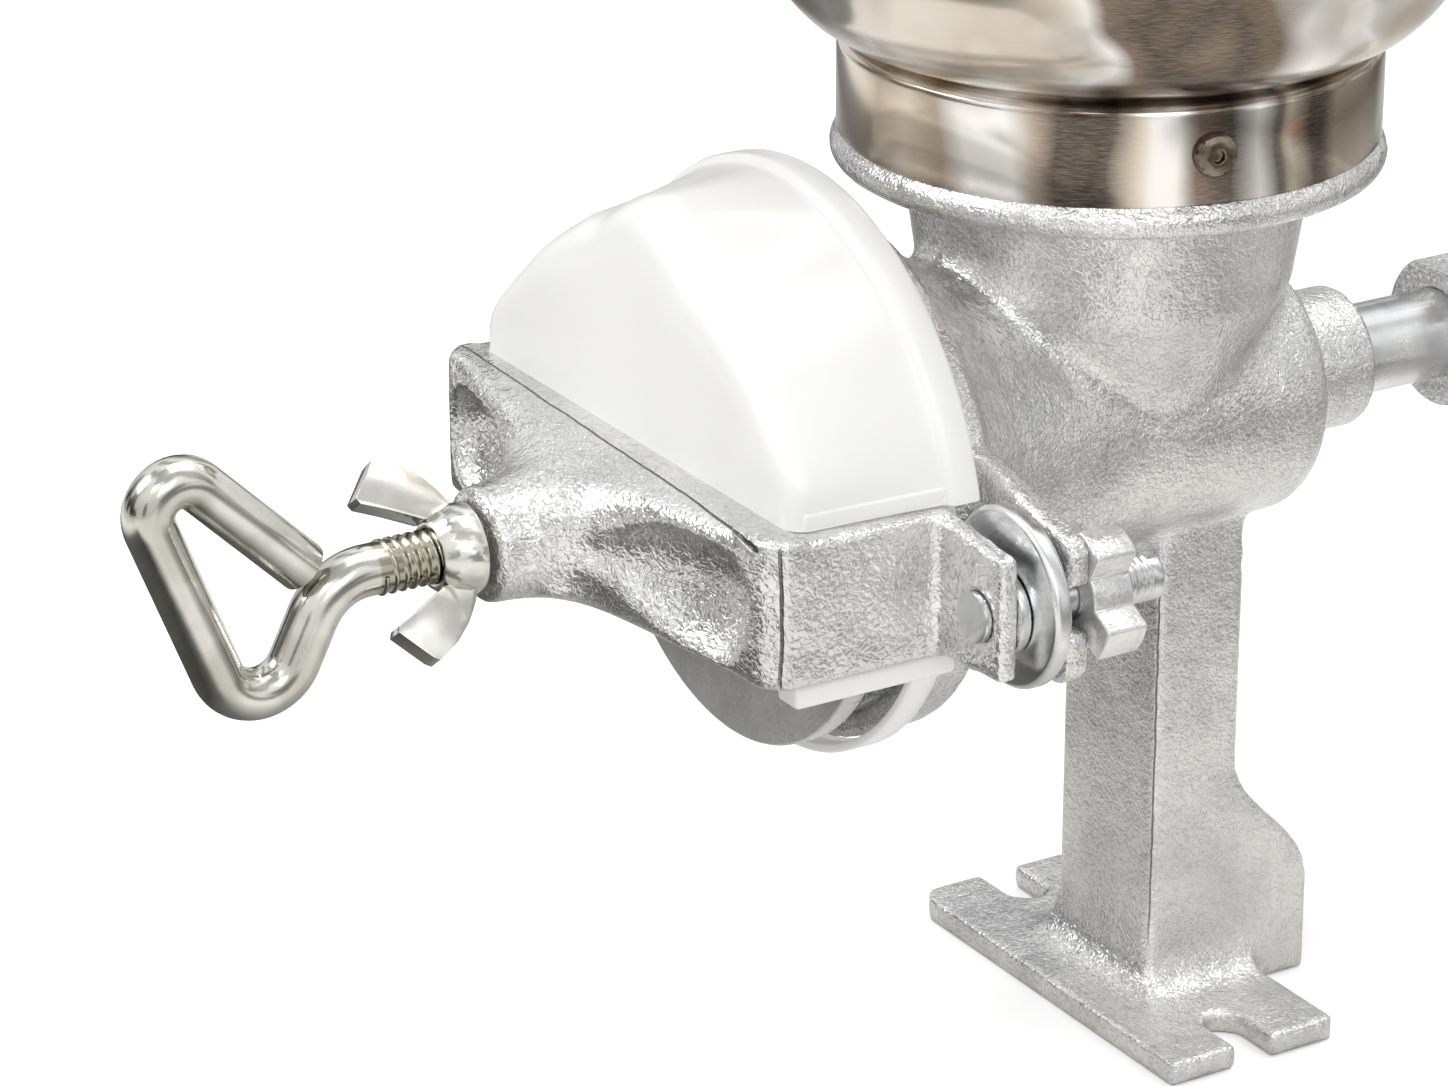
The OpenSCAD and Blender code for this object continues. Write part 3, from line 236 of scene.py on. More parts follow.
def yoke_seams(finish):
    """One seam along the yoke's top, leaning a little across the shaft, and one down each front corner."""
    x, y, z = finish.axes()
    wander = finish.noise(9, 2.0) * MM
    top = seam_at(y + x * TOP_SEAM_LEAN + wander - TOP_SEAM_Y * MM)
    corners = seam_at(y + wander * 1.5 - CORNER_SEAM_Y * MM)
    on_top = z.between((BAR_TOP - 0.1) * MM, (BAR_TOP + 0.2) * MM)
    on_ends = x.math("ABSOLUTE").between((BAR_END - 1) * MM, BAR_END * MM)
    return (top * on_top).math("MAXIMUM", corners * on_ends)


def pillar_seam(finish):
    """A seam down the pillar's front right corner, between the foot's fillet and the barrel."""
    x, y, z = finish.axes()
    off = x + y + finish.noise(6, 2.0) * (1.2 * MM) - (PILLAR_X + PILLAR_Y + 0.6) * MM
    near = x.between((PILLAR_X - 2.6) * MM, (PILLAR_X - 1.6) * MM)
    in_front = 1 - y.between((PILLAR_Y + 1.8) * MM, (PILLAR_Y + 2.8) * MM)
    foot, head = [z.between(low * MM, high * MM) for low, high in (PILLAR_FOOT, PILLAR_HEAD)]
    return seam_at(off) * near * in_front * foot * (1 - head) * 0.8


print("width of a seam, mm:", 2 * SEAM_EDGE)

# %% [markdown]
# ## Tinned casting
# The body, the yoke and the crank are iron castings dipped in tin. The skin has the fine pebble of the sand mould,
# softened by the tin, over slower swells, and it is drawn darker along thin fold lines. Tin is bright but not
# mirror-like.
# A picture of such a skin could be wrapped round the piece, but it would show where it is joined. A sum of noises
# has no joins, and each scale of it can be set by itself.

# %% Castings
TIN_DULL, TIN_BRIGHT = (0.70, 0.70, 0.70), (0.87, 0.865, 0.85)
FOLD_GREY, SEAM_GREY = (0.26, 0.26, 0.265), (0.06, 0.06, 0.06)
FOLDS = [
    # grain in pebbles, warp, width of the line
    (3, 1.0, 0.030), (6, 1.6, 0.018),
]
PEEL_GRAIN, SWELL_GRAIN, CLOUD_GRAIN = 1.6, 9, 24  # the first two in pebbles, the last in millimetres


def casting(name, pebble, depth, folded, metal=0.92, seams=None):
    """A tinned skin. Pebble and depth are in millimetres, and folded is how much the folds show, from 0 to 1."""
    finish = Finish(name, metallic=metal)
    # A fold is a thin line where a warped noise passes its middle value
    first, second = [
        (finish.noise(pebble * grain, 0.5, 0.5, warp=warp) - 0.5).math("ABSOLUTE").between(0.0, width)
        for grain, warp, width in FOLDS]
    plain = first * second
    peel = finish.noise(pebble * PEEL_GRAIN, 1.0, 0.5, warp=0.8)
    swell = finish.noise(pebble * SWELL_GRAIN, 1.0, 0.5)
    cloud = finish.noise(CLOUD_GRAIN, 3.0, 0.6)
    tone = finish.blend(cloud.between(0.35, 0.65), TIN_DULL, TIN_BRIGHT)
    tone = finish.blend(plain * folded + (1 - folded), FOLD_GREY, tone)
    height = plain * (folded * 0.4) + peel * 0.9 + swell * 1.5
    if seams:
        seam = seams(finish)
        tone = finish.blend(seam * 0.85, tone, SEAM_GREY)
        height = height - seam * 1.6
    finish.set(base_color=tone, roughness=cloud * 0.16 + 0.14)
    finish.relief(height, depth)
    return finish.material


tinned = casting("tinned_casting", 0.75, 0.38, 0.3)
tinned_body = casting("tinned_casting_body", 0.75, 0.38, 0.3, seams=pillar_seam)
tinned_yoke = casting("tinned_casting_yoke", 1.0, 0.44, 0.3, seams=yoke_seams)
tinned_fine = casting("tinned_casting_fine", 0.8, 0.18, 0.25, metal=0.6)
print("castings:", [material.name for material in (tinned, tinned_body, tinned_yoke, tinned_fine)])

# %% [markdown]
# ## Zinc plated steel
# The screw, the wing nut and the small fasteners are steel with a thin bright zinc plating. The handle and the wing
# nut look a little yellow, and the thread is oily. Slow clouds in the tone and small dull spots in the gloss make
# it plating.

# %% Plated steel
SCREW_START = -194.9  # place along the shaft where the bare rod ends and the thread begins
OIL = (0.30, 0.27, 0.18)


def plated(name, light, dark, dullness, thread_from=None):
    """Zinc plating between two tones. Where a thread starts, it is oily and yellow from there on."""
    finish = Finish(name, metallic=1.0)
    cloud = finish.noise(12, 2.0, 0.5)
    specks = finish.noise(0.7, 2.0, 0.6)
    tone = finish.blend(cloud.between(0.34, 0.66), dark, light)
    if thread_from:
        _, y, _ = finish.axes()
        oily = y.between((thread_from - 0.8) * MM, thread_from * MM)
        tone = finish.blend(oily * 0.6, tone, OIL)
    finish.set(base_color=tone, roughness=cloud * 0.12 + specks * 0.1 + dullness)
    finish.relief(specks * 0.5 + finish.noise(3.5, 2.0) * 0.5, 0.03, 0.6)
    return finish.material


bright_zinc = plated("bright_zinc", (0.84, 0.83, 0.78), (0.66, 0.65, 0.59), 0.07)
screw_zinc = plated("bright_zinc_screw", (0.76, 0.75, 0.70), (0.56, 0.55, 0.49), 0.05, thread_from=SCREW_START)
zinc_steel = plated("zinc_steel", (0.80, 0.805, 0.81), (0.60, 0.605, 0.615), 0.14)
# Dark steel for the collar screws, whose brown tone is a painted reflection
dark_steel_brown_reflection = plated("dark_steel_brown_reflection", (0.36, 0.31, 0.25), (0.15, 0.12, 0.09), 0.12)
print("plated:", [material.name for material in (bright_zinc, screw_zinc, zinc_steel, dark_steel_brown_reflection)])

# %% [markdown]
# ## Bare iron of the plates
# The two grinding plates are bare cast iron, with light and dark specks where the grain of the iron lies open. The
# specks could be dents in the mesh. They are under a millimetre wide, so a noise with a hard edge is enough.

# %% Bare iron
IRON_DARK, IRON_LIGHT = (0.34, 0.34, 0.35), (0.78, 0.78, 0.78)


def bare_iron(name):
    finish = Finish(name, metallic=0.6)
    specks = finish.noise(0.9, 3.0, 0.7).between(0.42, 0.6)
    cloud = finish.noise(12, 2.0)
    finish.set(base_color=finish.blend(specks, IRON_DARK, IRON_LIGHT), roughness=cloud * 0.2 + 0.28)
    finish.relief(specks * 0.6 + finish.noise(2.2, 2.0) * 0.6, 0.12)
    return finish.material


plate_grey = bare_iron("plate_iron")
print("bare iron:", plate_grey.name)

# %% [markdown]
# ## Polished sheet
# The hopper is stainless sheet, polished and then brushed level. On the real one, the bright and dark parts of a room
# are mirrored as upright bands. A plain white studio would leave it blank, and a room built round it would take
# many props. So the bands are painted reflections, a ramp of base colours over the turn round the neck. They stay on
# the piece from every side, and the shader adds its own gloss to them.

# %% Bands of the sheet
NECK_Y = -10.4  # place of the neck's axis along the shaft
FRONT_X, FRONT_Y = 0.857, -0.515  # level direction from the neck to the side that the photograph shows
# Tones of the painted reflections: the dark and bright parts of a mirrored room, not the sheet's own colour
UMBER, BRONZE, SAND, STRAW, PALE = [
    (0.075, 0.052, 0.035), (0.21, 0.15, 0.10), (0.46, 0.375, 0.28), (0.70, 0.61, 0.495), (0.98, 0.955, 0.92)]
# Each band of painted reflection by its turn in degrees from that side
COLLAR_REFLECTION_BANDS = [
    (-180, STRAW), (-140, PALE), (-110, SAND), (-83, PALE), (-65, STRAW), (-59, SAND), (-50, STRAW), (-41, SAND),
    (-34, PALE), (-24, PALE), (-19, SAND), (-14, UMBER), (-3, UMBER), (3, STRAW), (6, PALE), (11, PALE),
    (15, BRONZE), (21, UMBER), (27, PALE), (33, UMBER), (36, STRAW), (42, UMBER), (46, UMBER), (51, SAND),
    (62, SAND), (69, BRONZE), (78, PALE), (110, SAND), (145, PALE), (180, STRAW)]
BOWL_REFLECTION_BANDS = [
    (-180, PALE), (-140, SAND), (-110, PALE), (-80, SAND), (-58, PALE), (-28, STRAW), (-14, PALE), (-3, BRONZE),
    (8, UMBER), (20, BRONZE), (34, PALE), (52, STRAW), (66, PALE), (82, SAND), (115, PALE), (145, SAND), (180, PALE)]
BRUSHED = (1.0, 0.97, 0.93)  # what the brushing adds

print("bands:", len(COLLAR_REFLECTION_BANDS), "on the collar,", len(BOWL_REFLECTION_BANDS), "on the bowl")


# %% Brushed sheet
def around_neck(finish):
    """The turn round the neck's axis: 0.5 at the front, 0 and 1 at the back."""
    x, y, _ = finish.axes()
    y = y - NECK_Y * MM
    across, toward = y * FRONT_X - x * FRONT_Y, x * FRONT_X + y * FRONT_Y
    return across.math("ARCTAN2", toward) * (1 / math.tau) + 0.5


def brushed_sheet(name, bands, wave):
    """Brushed sheet with upright bands of painted reflection, which a slow noise bends by up to about half a wave."""
    finish = Finish(name, metallic=0.8)
    brush = finish.noise(0.16, 3.0, 0.65, finish.stretched(0.05, 0.05, 1.0))
    drift = finish.noise(26, 1.0, 0.5)
    tone = finish.ramp(around_neck(finish) + (drift - 0.5) * wave,
                       [(0.5 + degrees / 360, colour) for degrees, colour in bands])
    tone = finish.blend(brush.between(0.35, 0.75) * 0.16, tone, BRUSHED)
    finish.set(base_color=tone, roughness=brush * 0.12 + 0.10)
    finish.relief(brush, 0.006, 0.5)
    return finish.material


collar_sheet = brushed_sheet("stainless_collar", COLLAR_REFLECTION_BANDS, 0.03)
bowl_sheet = brushed_sheet("stainless_bowl", BOWL_REFLECTION_BANDS, 0.2)
print("sheet:", collar_sheet.name, "and", bowl_sheet.name)

# %% [markdown]
# ## White moulding
# The cover is moulded from white plastic, with the faint waviness of a moulding. Light goes a little way into such
# plastic and comes out again near by, which fills its shaded sides. Blender can trace that, but it takes long, so a
# weak glow of the same white stands in for it.

# %% White plastic
WHITE_LOW, WHITE_HIGH, WHITE_GLOW = (0.72, 0.72, 0.71), (0.76, 0.76, 0.755), (1.0, 0.995, 0.985)


def white_moulding(name):
    finish = Finish(name, coat_weight=0.3, coat_roughness=0.2, ior=1.48)
    cloud = finish.noise(40, 2.0)
    finish.set(base_color=finish.blend(cloud.between(0.3, 0.7), WHITE_LOW, WHITE_HIGH),
               roughness=cloud * 0.08 + 0.26, emission_color=WHITE_GLOW, emission_strength=0.2)
    finish.relief(finish.noise(16, 1.0), 0.12, 0.3)
    return finish.material


white_plastic = white_moulding("white_moulding")
print("plastic:", white_plastic.name)

# %% [markdown]
# ## Varnished beech
# The grip is turned from beech and varnished. Its grain runs along the grip, with short dark flecks in it. Rings could
# be drawn with a wave, but a noise that is stretched along the grip looks less even, as grown wood does. A clear coat
# over it is the varnish.

# %% Beech
BEECH_DARK, BEECH_LIGHT, FLECK = (0.33, 0.16, 0.065), (0.55, 0.32, 0.15), (0.20, 0.09, 0.04)


def beech(name):
    finish = Finish(name, coat_weight=0.5, coat_roughness=0.12)
    rings = finish.noise(2.2, 4.0, 0.6, finish.stretched(1.0, 0.06, 1.0), 0.8)
    flecks = finish.noise(0.5, 2.0, 0.5, finish.stretched(1.0, 0.18, 1.0)).between(0.62, 0.72)
    tone = finish.blend(rings.between(0.35, 0.65), BEECH_DARK, BEECH_LIGHT)
    tone = finish.blend(flecks * 0.5, tone, FLECK)
    finish.set(base_color=tone, roughness=rings * 0.15 + 0.3)
    finish.relief(rings * 0.6 - flecks * 0.3, 0.05, 0.5)
    return finish.material


beech_wood = beech("grip_beech")
print("finishes:", len(bpy.data.materials))

# %% [markdown]
# ## Bench tools
# A mesh could be written as a list of points and faces. Here most pieces are worked as a hand works them in
# Blender's window, so that each step can be tried there. These helpers hold one piece, open it in edit mode, or
# shape it with a modifier that is applied at once.

# %% Hold, edit and shape
def hold(piece):
    bpy.ops.object.select_all(action="DESELECT")
    piece.select_set(True)
    bpy.context.view_layer.objects.active = piece


@contextmanager
def edit(piece, everything=False):
    hold(piece)
    bpy.ops.object.mode_set(mode="EDIT")
    bpy.ops.mesh.select_mode(type="VERT")
    bpy.ops.mesh.select_all(action="SELECT" if everything else "DESELECT")
    yield
    bpy.ops.object.mode_set(mode="OBJECT")


def shape_with(piece, kind, **settings):
    hold(piece)
    tool = piece.modifiers.new(kind.lower(), kind)
    for key, value in settings.items():
        setattr(tool, key, value)
    bpy.ops.object.modifier_apply(modifier=tool.name)
    return piece


print("CAD nodes to dress:", len(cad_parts))

# %% [markdown]
# ## Dressing a piece
# A finished piece gets one finish, rides on the CAD body that moves it, and stands for its CAD node. A flat shaded
# mesh would show its faces, and a smooth shaded one would blur its edges. Shading by angle keeps an edge crisp where
# it turns by more than a given angle.

# %% Settle and dress
def settle(piece):
    """Leaves the piece's object at the origin, with its place in its mesh."""
    hold(piece)
    bpy.ops.object.transform_apply(location=True, rotation=True, scale=True)
    return piece


def dress(piece, node, body, material, sharp=35):
    """Gives the finished piece its finish and its body, and hides the CAD node that it stands for."""
    settle(piece)
    bpy.ops.object.shade_smooth_by_angle(angle=math.radians(sharp))
    piece.data.materials.clear()
    piece.data.materials.append(material)
    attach(piece, body)
    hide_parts(node)
    print(f"{piece.name}: {len(piece.data.polygons)} faces")


# %% Copies of CAD nodes
COPY_GAP = 0.002  # the CAD's triangles are loose, so their corners are merged
FLAT_ANGLE, EDGE_ANGLE = 0.4, 32  # in degrees


def copy_of(node, name):
    """A merged copy of a CAD node's mesh, as a piece of its own."""
    piece = bpy.data.objects.new(name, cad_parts[node].data.copy())
    bpy.context.scene.collection.objects.link(piece)
    with edit(piece, everything=True):
        bpy.ops.mesh.remove_doubles(threshold=COPY_GAP * MM)
    return piece


def eased_copy(node, name, ease):
    """A copy whose flat faces are whole again and whose sharp edges are eased."""
    piece = copy_of(node, name)
    with edit(piece, everything=True):
        bpy.ops.mesh.dissolve_limited(angle_limit=math.radians(FLAT_ANGLE))
    return shape_with(piece, "BEVEL", width=ease * MM, segments=2, limit_method="ANGLE",
                      angle_limit=math.radians(EDGE_ANGLE), use_clamp_overlap=True)


# %% [markdown]
# ## Castings with soft edges
# A casting has no sharp edge: corners are rounded and hollows are filled with fillets. Bevels could round the edges,
# but they fail where many curved faces meet. So a voxel remesh turns the CAD copy into even quads, a smoothing pass
# rounds all edges a little, and a second one works only in the hollows, where it fills the fillets.

# %% Hollows
DENT = 0.00007  # metres that a point lies below its neighbours, from which it counts as in a hollow
LEVELS = 10


def hollows(piece, spread):
    """Adds a vertex group that is 1 in concave places and fades over the given number of steps."""
    mesh = piece.data
    count = len(mesh.vertices)
    places = np.empty(count * 3)
    mesh.vertices.foreach_get("co", places)
    places = places.reshape(-1, 3)
    normals = np.array([point.normal for point in mesh.vertices])
    ends = np.empty(len(mesh.edges) * 2, int)
    mesh.edges.foreach_get("vertices", ends)
    here, there = ends.reshape(-1, 2).T
    neighbours = np.bincount(here, minlength=count) + np.bincount(there, minlength=count)

    def around(values):
        """The mean over each point's neighbours."""
        total = np.zeros(values.shape)
        np.add.at(total, here, values[there])
        np.add.at(total, there, values[here])
        return total / (neighbours[:, None] if values.ndim > 1 else neighbours)

    dent = around(around(((around(places) - places) * normals).sum(1)))
    weight = (dent > DENT).astype(float)
    for _ in range(spread):
        weight = np.maximum(weight, around(weight) * 1.02)
    weight = np.clip(weight, 0, 1)
    group = piece.vertex_groups.new(name="hollows")
    for level in range(1, LEVELS + 1):
        chosen = np.nonzero((weight > level / LEVELS - 0.1) & (weight <= level / LEVELS))[0]
        if len(chosen):
            group.add(chosen.tolist(), level / LEVELS, "REPLACE")
    print(f"{piece.name}: {int((weight > 0.5).sum())} of {count} points lie in hollows")


# %% Body casting
def cast_skin(piece, voxel, rounds, fillet_rounds, spread):
    """Rounds a piece as a casting is: voxel in millimetres, then rounds of smoothing over all and in the hollows."""
    shape_with(piece, "REMESH", mode="VOXEL", voxel_size=voxel * MM)
    shape_with(piece, "SMOOTH", factor=0.5, iterations=rounds)
    hollows(piece, spread)
    return shape_with(piece, "SMOOTH", factor=0.5, iterations=fillet_rounds, vertex_group="hollows")


CAST_SHARP = 80  # degrees from which an edge of a casting stays crisp
body = cast_skin(copy_of("body_casting", "body_skin"), voxel=1.4, rounds=2, fillet_rounds=60, spread=6)
dress(body, "body_casting", "base", tinned_body, sharp=CAST_SHARP)

# %% [markdown]
# ## Flare of the yoke's nose
# The yoke's nose flares into its bar like a trumpet. It could be pulled out of a cylinder in sculpt mode, but then
# its size would be a matter of luck. It is a loft instead: rows of points on squarish circles, which grow from the
# round nose to the long bar, made a closed sheet and joined to the CAD copy.

# %% Rows of the flare
def squarish(value, power):
    """A sine or cosine for a squarish circle: a power of 2 makes it round, a higher one makes it squarer."""
    return math.copysign(abs(value) ** (2 / power), value)


def full_turn(steps):
    """The cosine and sine of each step of a whole turn."""
    return [(math.cos(a), math.sin(a)) for a in np.radians(np.linspace(0, 360, steps + 1))]


NOSE_Y, FLARE_END_Y = -170.7, -138
FLARE_RUN, FLARE_LIFT = 35, 0.9  # the middle of the flare rises by the lift over the run
FLARE_STEPS = 72
FLARE = [
    # place along the shaft, half width, half height, squareness
    (NOSE_Y, 12.7, 12.7, 2), (-166, 12.9, 12.8, 2), (-162, 13.6, 13.1, 2.05), (-158.5, 15, 13.4, 2.2),
    (-155.5, 17.6, 13.8, 2.4), (-152.8, 21.5, 14.2, 2.6), (-150.4, 27, 14.6, 2.9), (-148.2, 34.5, 15.1, 3.3),
    (-146.2, 44, 15.6, 4), (-144.2, 55, 16, 5), (-142, 64, 16.2, 6), (FLARE_END_Y, 66, 16.3, 6),
]
rows = [[(0, NOSE_Y, AXIS_Z)] * (FLARE_STEPS + 1)]
for y, half_width, half_height, power in FLARE:
    lift = (y - NOSE_Y) / FLARE_RUN * FLARE_LIFT
    rows.append([(half_width * squarish(c, power), y, AXIS_Z + lift + half_height * squarish(s, power))
                 for c, s in full_turn(FLARE_STEPS)])
rows.append([(0, FLARE_END_Y, AXIS_Z)] * (FLARE_STEPS + 1))
print("flare:", len(rows), "rows of", len(rows[0]), "points")

# %% Flare
LOFT_GAP = 0.01  # points of a loft that lie closer than this are one


def sheet_of(name, rows):
    """A sheet of quads through rows of points, in millimetres."""
    bpy.ops.object.select_all(action="DESELECT")
    bpy.ops.mesh.primitive_grid_add(x_subdivisions=len(rows[0]) - 1, y_subdivisions=len(rows) - 1, size=1)
    piece = bpy.context.object
    piece.name = name
    places = sorted(piece.data.vertices, key=lambda v: (round(v.co.y, 5), v.co.x))
    for point, place in zip(places, (p for row in rows for p in row)):
        point.co = Vector(place) * MM
    return piece


def closed_up(piece, gap):
    """Merges points that lie within the gap, in millimetres, and turns the faces outward."""
    with edit(piece, everything=True):
        bpy.ops.mesh.remove_doubles(threshold=gap * MM)
        bpy.ops.mesh.normals_make_consistent(inside=False)
    return piece


flare = closed_up(sheet_of("flare", rows), LOFT_GAP)
print("flare:", len(flare.data.polygons), "faces")

# %% [markdown]
# ## Scoops beside the nose
# The founder saved iron by scooping a long hollow out of the bar on each side of the nose. A hollow could be pressed
# in with a smooth brush. A loft of rounded sections that is cut away keeps its size, and it can be given a steep
# roof and a floor that runs out toward the bar's lower edge.

# %% Sections of the scoops
def smooth_line(points, steps):
    """A curve through the points, with a number of steps between each two."""
    padded = [points[0], *points, points[-1]]
    line = []
    for p0, p1, p2, p3 in zip(padded, padded[1:], padded[2:], padded[3:]):
        for k in range(steps):
            t = k / steps
            line.append(tuple(
                0.5 * (2 * b + (c - a) * t + (2 * a - 5 * b + 4 * c - d) * t * t + (3 * b - a - 3 * c + d) * t ** 3)
                for a, b, c, d in zip(p0, p1, p2, p3)))
    return line + [points[-1]]


SCOOP = [
    # place from the middle, deepest place along the shaft, reach up, reach down
    (16.5, -155.5, 0.5, 0.5), (18, -153.6, 4, 4), (21, -151.2, 6.4, 7), (26, -147.6, 8.2, 10), (32, -143.6, 9.6, 12.6),
    (39, -139.6, 10.6, 14.6), (46, -137, 11, 15.8), (52, -135.8, 11, 16), (57, -136, 10.2, 14.6),
    (60.5, -137.6, 8.4, 11.6), (62.6, -140, 5.4, 7.6), (63.4, -142.5, 1, 1.4),
]
sections = smooth_line(SCOOP, 5)
print("scoop:", len(sections), "sections")

# %% Scoops
SCOOP_STEPS = 48
SCOOP_LIFT = 1.6  # height of the scoop's middle over the axis
FRONT_REACH, FRONT_POWER = 16, 2
BACK_REACH, ROOF_POWER, FLOOR_POWER = 7.5, 2.5, 1.55


def scoop_rows(side):
    """Sections of the hollow on one side, with a point at each end."""
    rows = []
    for x, deep, high, low in sections:
        row = []
        for c, s in full_turn(SCOOP_STEPS):
            if c > 0:
                reach, power = BACK_REACH, ROOF_POWER if s > 0 else FLOOR_POWER
            else:
                reach, power = FRONT_REACH, FRONT_POWER
            row.append((side * x, deep - BACK_REACH + reach * squarish(c, power),
                        AXIS_Z + SCOOP_LIFT + (high if s > 0 else low) * squarish(s, power)))
        rows.append(row)
    first, last = [[tuple(np.mean(row, axis=0))] * len(row) for row in (rows[0], rows[-1])]
    return [first, *rows, last]


def joined(name, first, *others):
    """Makes one piece of several."""
    hold(first)
    for other in others:
        other.select_set(True)
    bpy.ops.object.join()
    first.name = name
    return first


scoop = joined("scoop", *(sheet_of("scoop", scoop_rows(side)) for side in (-1, 1)))
closed_up(scoop, LOFT_GAP)
print("scoops:", len(scoop.data.polygons), "faces")

# %% [markdown]
# ## Front yoke
# The yoke is a casting too, but its pockets and its nose are smaller than the body's forms, so its voxels are finer.
# The remesh joins the flare to the CAD copy. A boolean then cuts the scoops, and the smoothing softens their rims as
# sand does. The bore for the adjusting screw is drilled last, as in the workshop, so that it stays round.

# %% Yoke
def cut_away(piece, tool):
    """Cuts the tool's shape out of the piece, and uses the tool up."""
    shape_with(piece, "BOOLEAN", operation="DIFFERENCE", object=tool, solver="EXACT")
    bpy.data.objects.remove(tool)


YOKE_VOXEL = 0.8
BORE_R, BORE_LENGTH, BORE_Y = 6.3, 60, -145
yoke = joined("yoke_skin", copy_of("front_yoke", "yoke_skin"), flare)
shape_with(yoke, "REMESH", mode="VOXEL", voxel_size=YOKE_VOXEL * MM)
cut_away(yoke, scoop)
cast_skin(yoke, voxel=YOKE_VOXEL, rounds=3, fillet_rounds=30, spread=6)
bpy.ops.mesh.primitive_cylinder_add(
    vertices=64, radius=BORE_R * MM, depth=BORE_LENGTH * MM, location=Vector((0, BORE_Y, AXIS_Z)) * MM,
    rotation=(math.pi / 2, 0, 0))
cut_away(yoke, settle(bpy.context.object))
dress(yoke, "front_yoke", "base", tinned_yoke, sharp=CAST_SHARP)

# %% [markdown]
# ## Small fasteners and turned parts
# The nuts, studs, plates, auger, crank and grip keep the shape that the CAD gives them. They could be shown as they
# are, but a real edge is never quite sharp and catches a thin line of light. So each is copied, and a small bevel
# eases its edges.

# %% Fasteners and turned parts
EASED = [
    # CAD node, body, slot, finish, ease in millimetres
    ("fixed_plate", "base", "plate_iron", plate_grey, 0.4),
    ("fixed_plate_screws", "base", "zinc_steel", zinc_steel, 0.2),
    ("left_stud", "base", "zinc_steel", zinc_steel, 0.12),
    ("right_stud", "base", "zinc_steel", zinc_steel, 0.12),
    ("left_stop_disc", "base", "zinc_steel", zinc_steel, 0.4),
    ("right_stop_disc", "base", "zinc_steel", zinc_steel, 0.4),
    ("left_clamp_nut", "left_nut", "tinned_casting", tinned_fine, 0.9),
    ("right_clamp_nut", "right_nut", "tinned_casting", tinned_fine, 0.9),
    ("collar_screws", "base", "zinc_steel", dark_steel_brown_reflection, 0.2),
    ("auger", "rotor", "shaft_iron", zinc_steel, 0.3),
    ("plate_holder", "rotor", "tinned_casting", tinned_fine, 1.0),
    ("rotating_plate", "rotor", "plate_iron", plate_grey, 0.4),
    ("drive_pin", "rotor", "zinc_steel", zinc_steel, 0.2),
    ("thrust_ball", "thrust", "zinc_steel", zinc_steel, 0.0),
    ("lock_wing_nut", "wing_nut", "bright_zinc", bright_zinc, 0.8),
    ("crank_arm", "rotor", "tinned_casting", tinned, 1.2),
    ("crank_set_screw", "rotor", "zinc_steel", zinc_steel, 0.2),
    ("grip_bolt", "rotor", "zinc_steel", zinc_steel, 0.4),
    ("grip_washer", "rotor", "zinc_steel", zinc_steel, 0.2),
    ("grip_nut", "rotor", "zinc_steel", zinc_steel, 0.3),
    ("grip", "handle_grip", "grip_wood", beech_wood, 0.3),
]
for node, rider, slot, material, ease in EASED:
    made = eased_copy(node, f"{node}_skin", ease) if ease else copy_of(node, f"{node}_skin")
    dress(made, node, rider, material)

# %% [markdown]
# ## Turned shapes
# The hopper's bowl and collar are spun from sheet over a turning form. A turned shape could also be made with the
# Screw modifier. Here it starts as one point, which is drawn out into the profile and spun once round its axis, as
# on a lathe.

# %% Lathe
SPIN_GAP = 0.001


def drawn(name, points):
    """A line of edges through the points, in millimetres, drawn point by point."""
    bpy.ops.object.select_all(action="DESELECT")
    bpy.ops.mesh.primitive_plane_add(size=MM, location=(0, 0, 0))
    piece = bpy.context.object
    piece.name = name
    with edit(piece, everything=True):
        bpy.ops.mesh.merge(type="CENTER")
        bpy.ops.transform.translate(value=Vector(points[0]) * MM)
        for here, there in zip(points, points[1:]):
            bpy.ops.mesh.extrude_region_move(
                TRANSFORM_OT_translate={"value": (Vector(there) - Vector(here)) * MM})
    return piece


def spun(name, profile, centre, axis, steps=128):
    """A closed profile of radius and height, in millimetres, spun round an axis through the centre."""
    out = Vector((1, 0, 0))
    points = [Vector(centre) + out * r + Vector(axis) * h for r, h in profile]
    piece = drawn(name, [*points, points[0]])
    with edit(piece, everything=True):
        bpy.ops.mesh.remove_doubles(threshold=SPIN_GAP * MM)
        bpy.ops.mesh.select_all(action="SELECT")
        bpy.ops.mesh.spin(steps=steps, angle=math.tau, center=Vector(centre) * MM, axis=axis)
    return closed_up(piece, SPIN_GAP)


def arc(centre, radius, degrees):
    """Points on an arc round a centre, at each of the angles."""
    return [(centre[0] + radius * math.cos(a), centre[1] + radius * math.sin(a)) for a in map(math.radians, degrees)]


# %% [markdown]
# ## Hopper bowl
# The bowl swells out of the collar in one smooth belly, and its edge is rolled over a wire. The profile could be a
# list of many points. Here a few shares of one bend give the belly, a smooth curve runs through them, and the same
# curve, moved in by the sheet's thickness, is the inside.

# %% Bowl
COLLAR_Z, COLLAR_H, COLLAR_R = 212.2, 22, 60
SHEET = 1.2
BOWL_R, BOWL_H, RIM_R, BEND = 84, 82, 2.6, 24
BOWL_Z = COLLAR_Z + COLLAR_H
SPIGOT_R = COLLAR_R - 4 * SHEET - 0.05  # the bowl's neck, which fits in the collar
SPIGOT_DROP = 2.5
RISE = 0.8  # how much higher the inside lies where the wall slopes, in sheets
BELLY = [(0.1, 0.06), (0.3, 0.12), (0.52, 0.26), (0.74, 0.5), (0.88, 0.78)]  # out and up, in shares of the bend

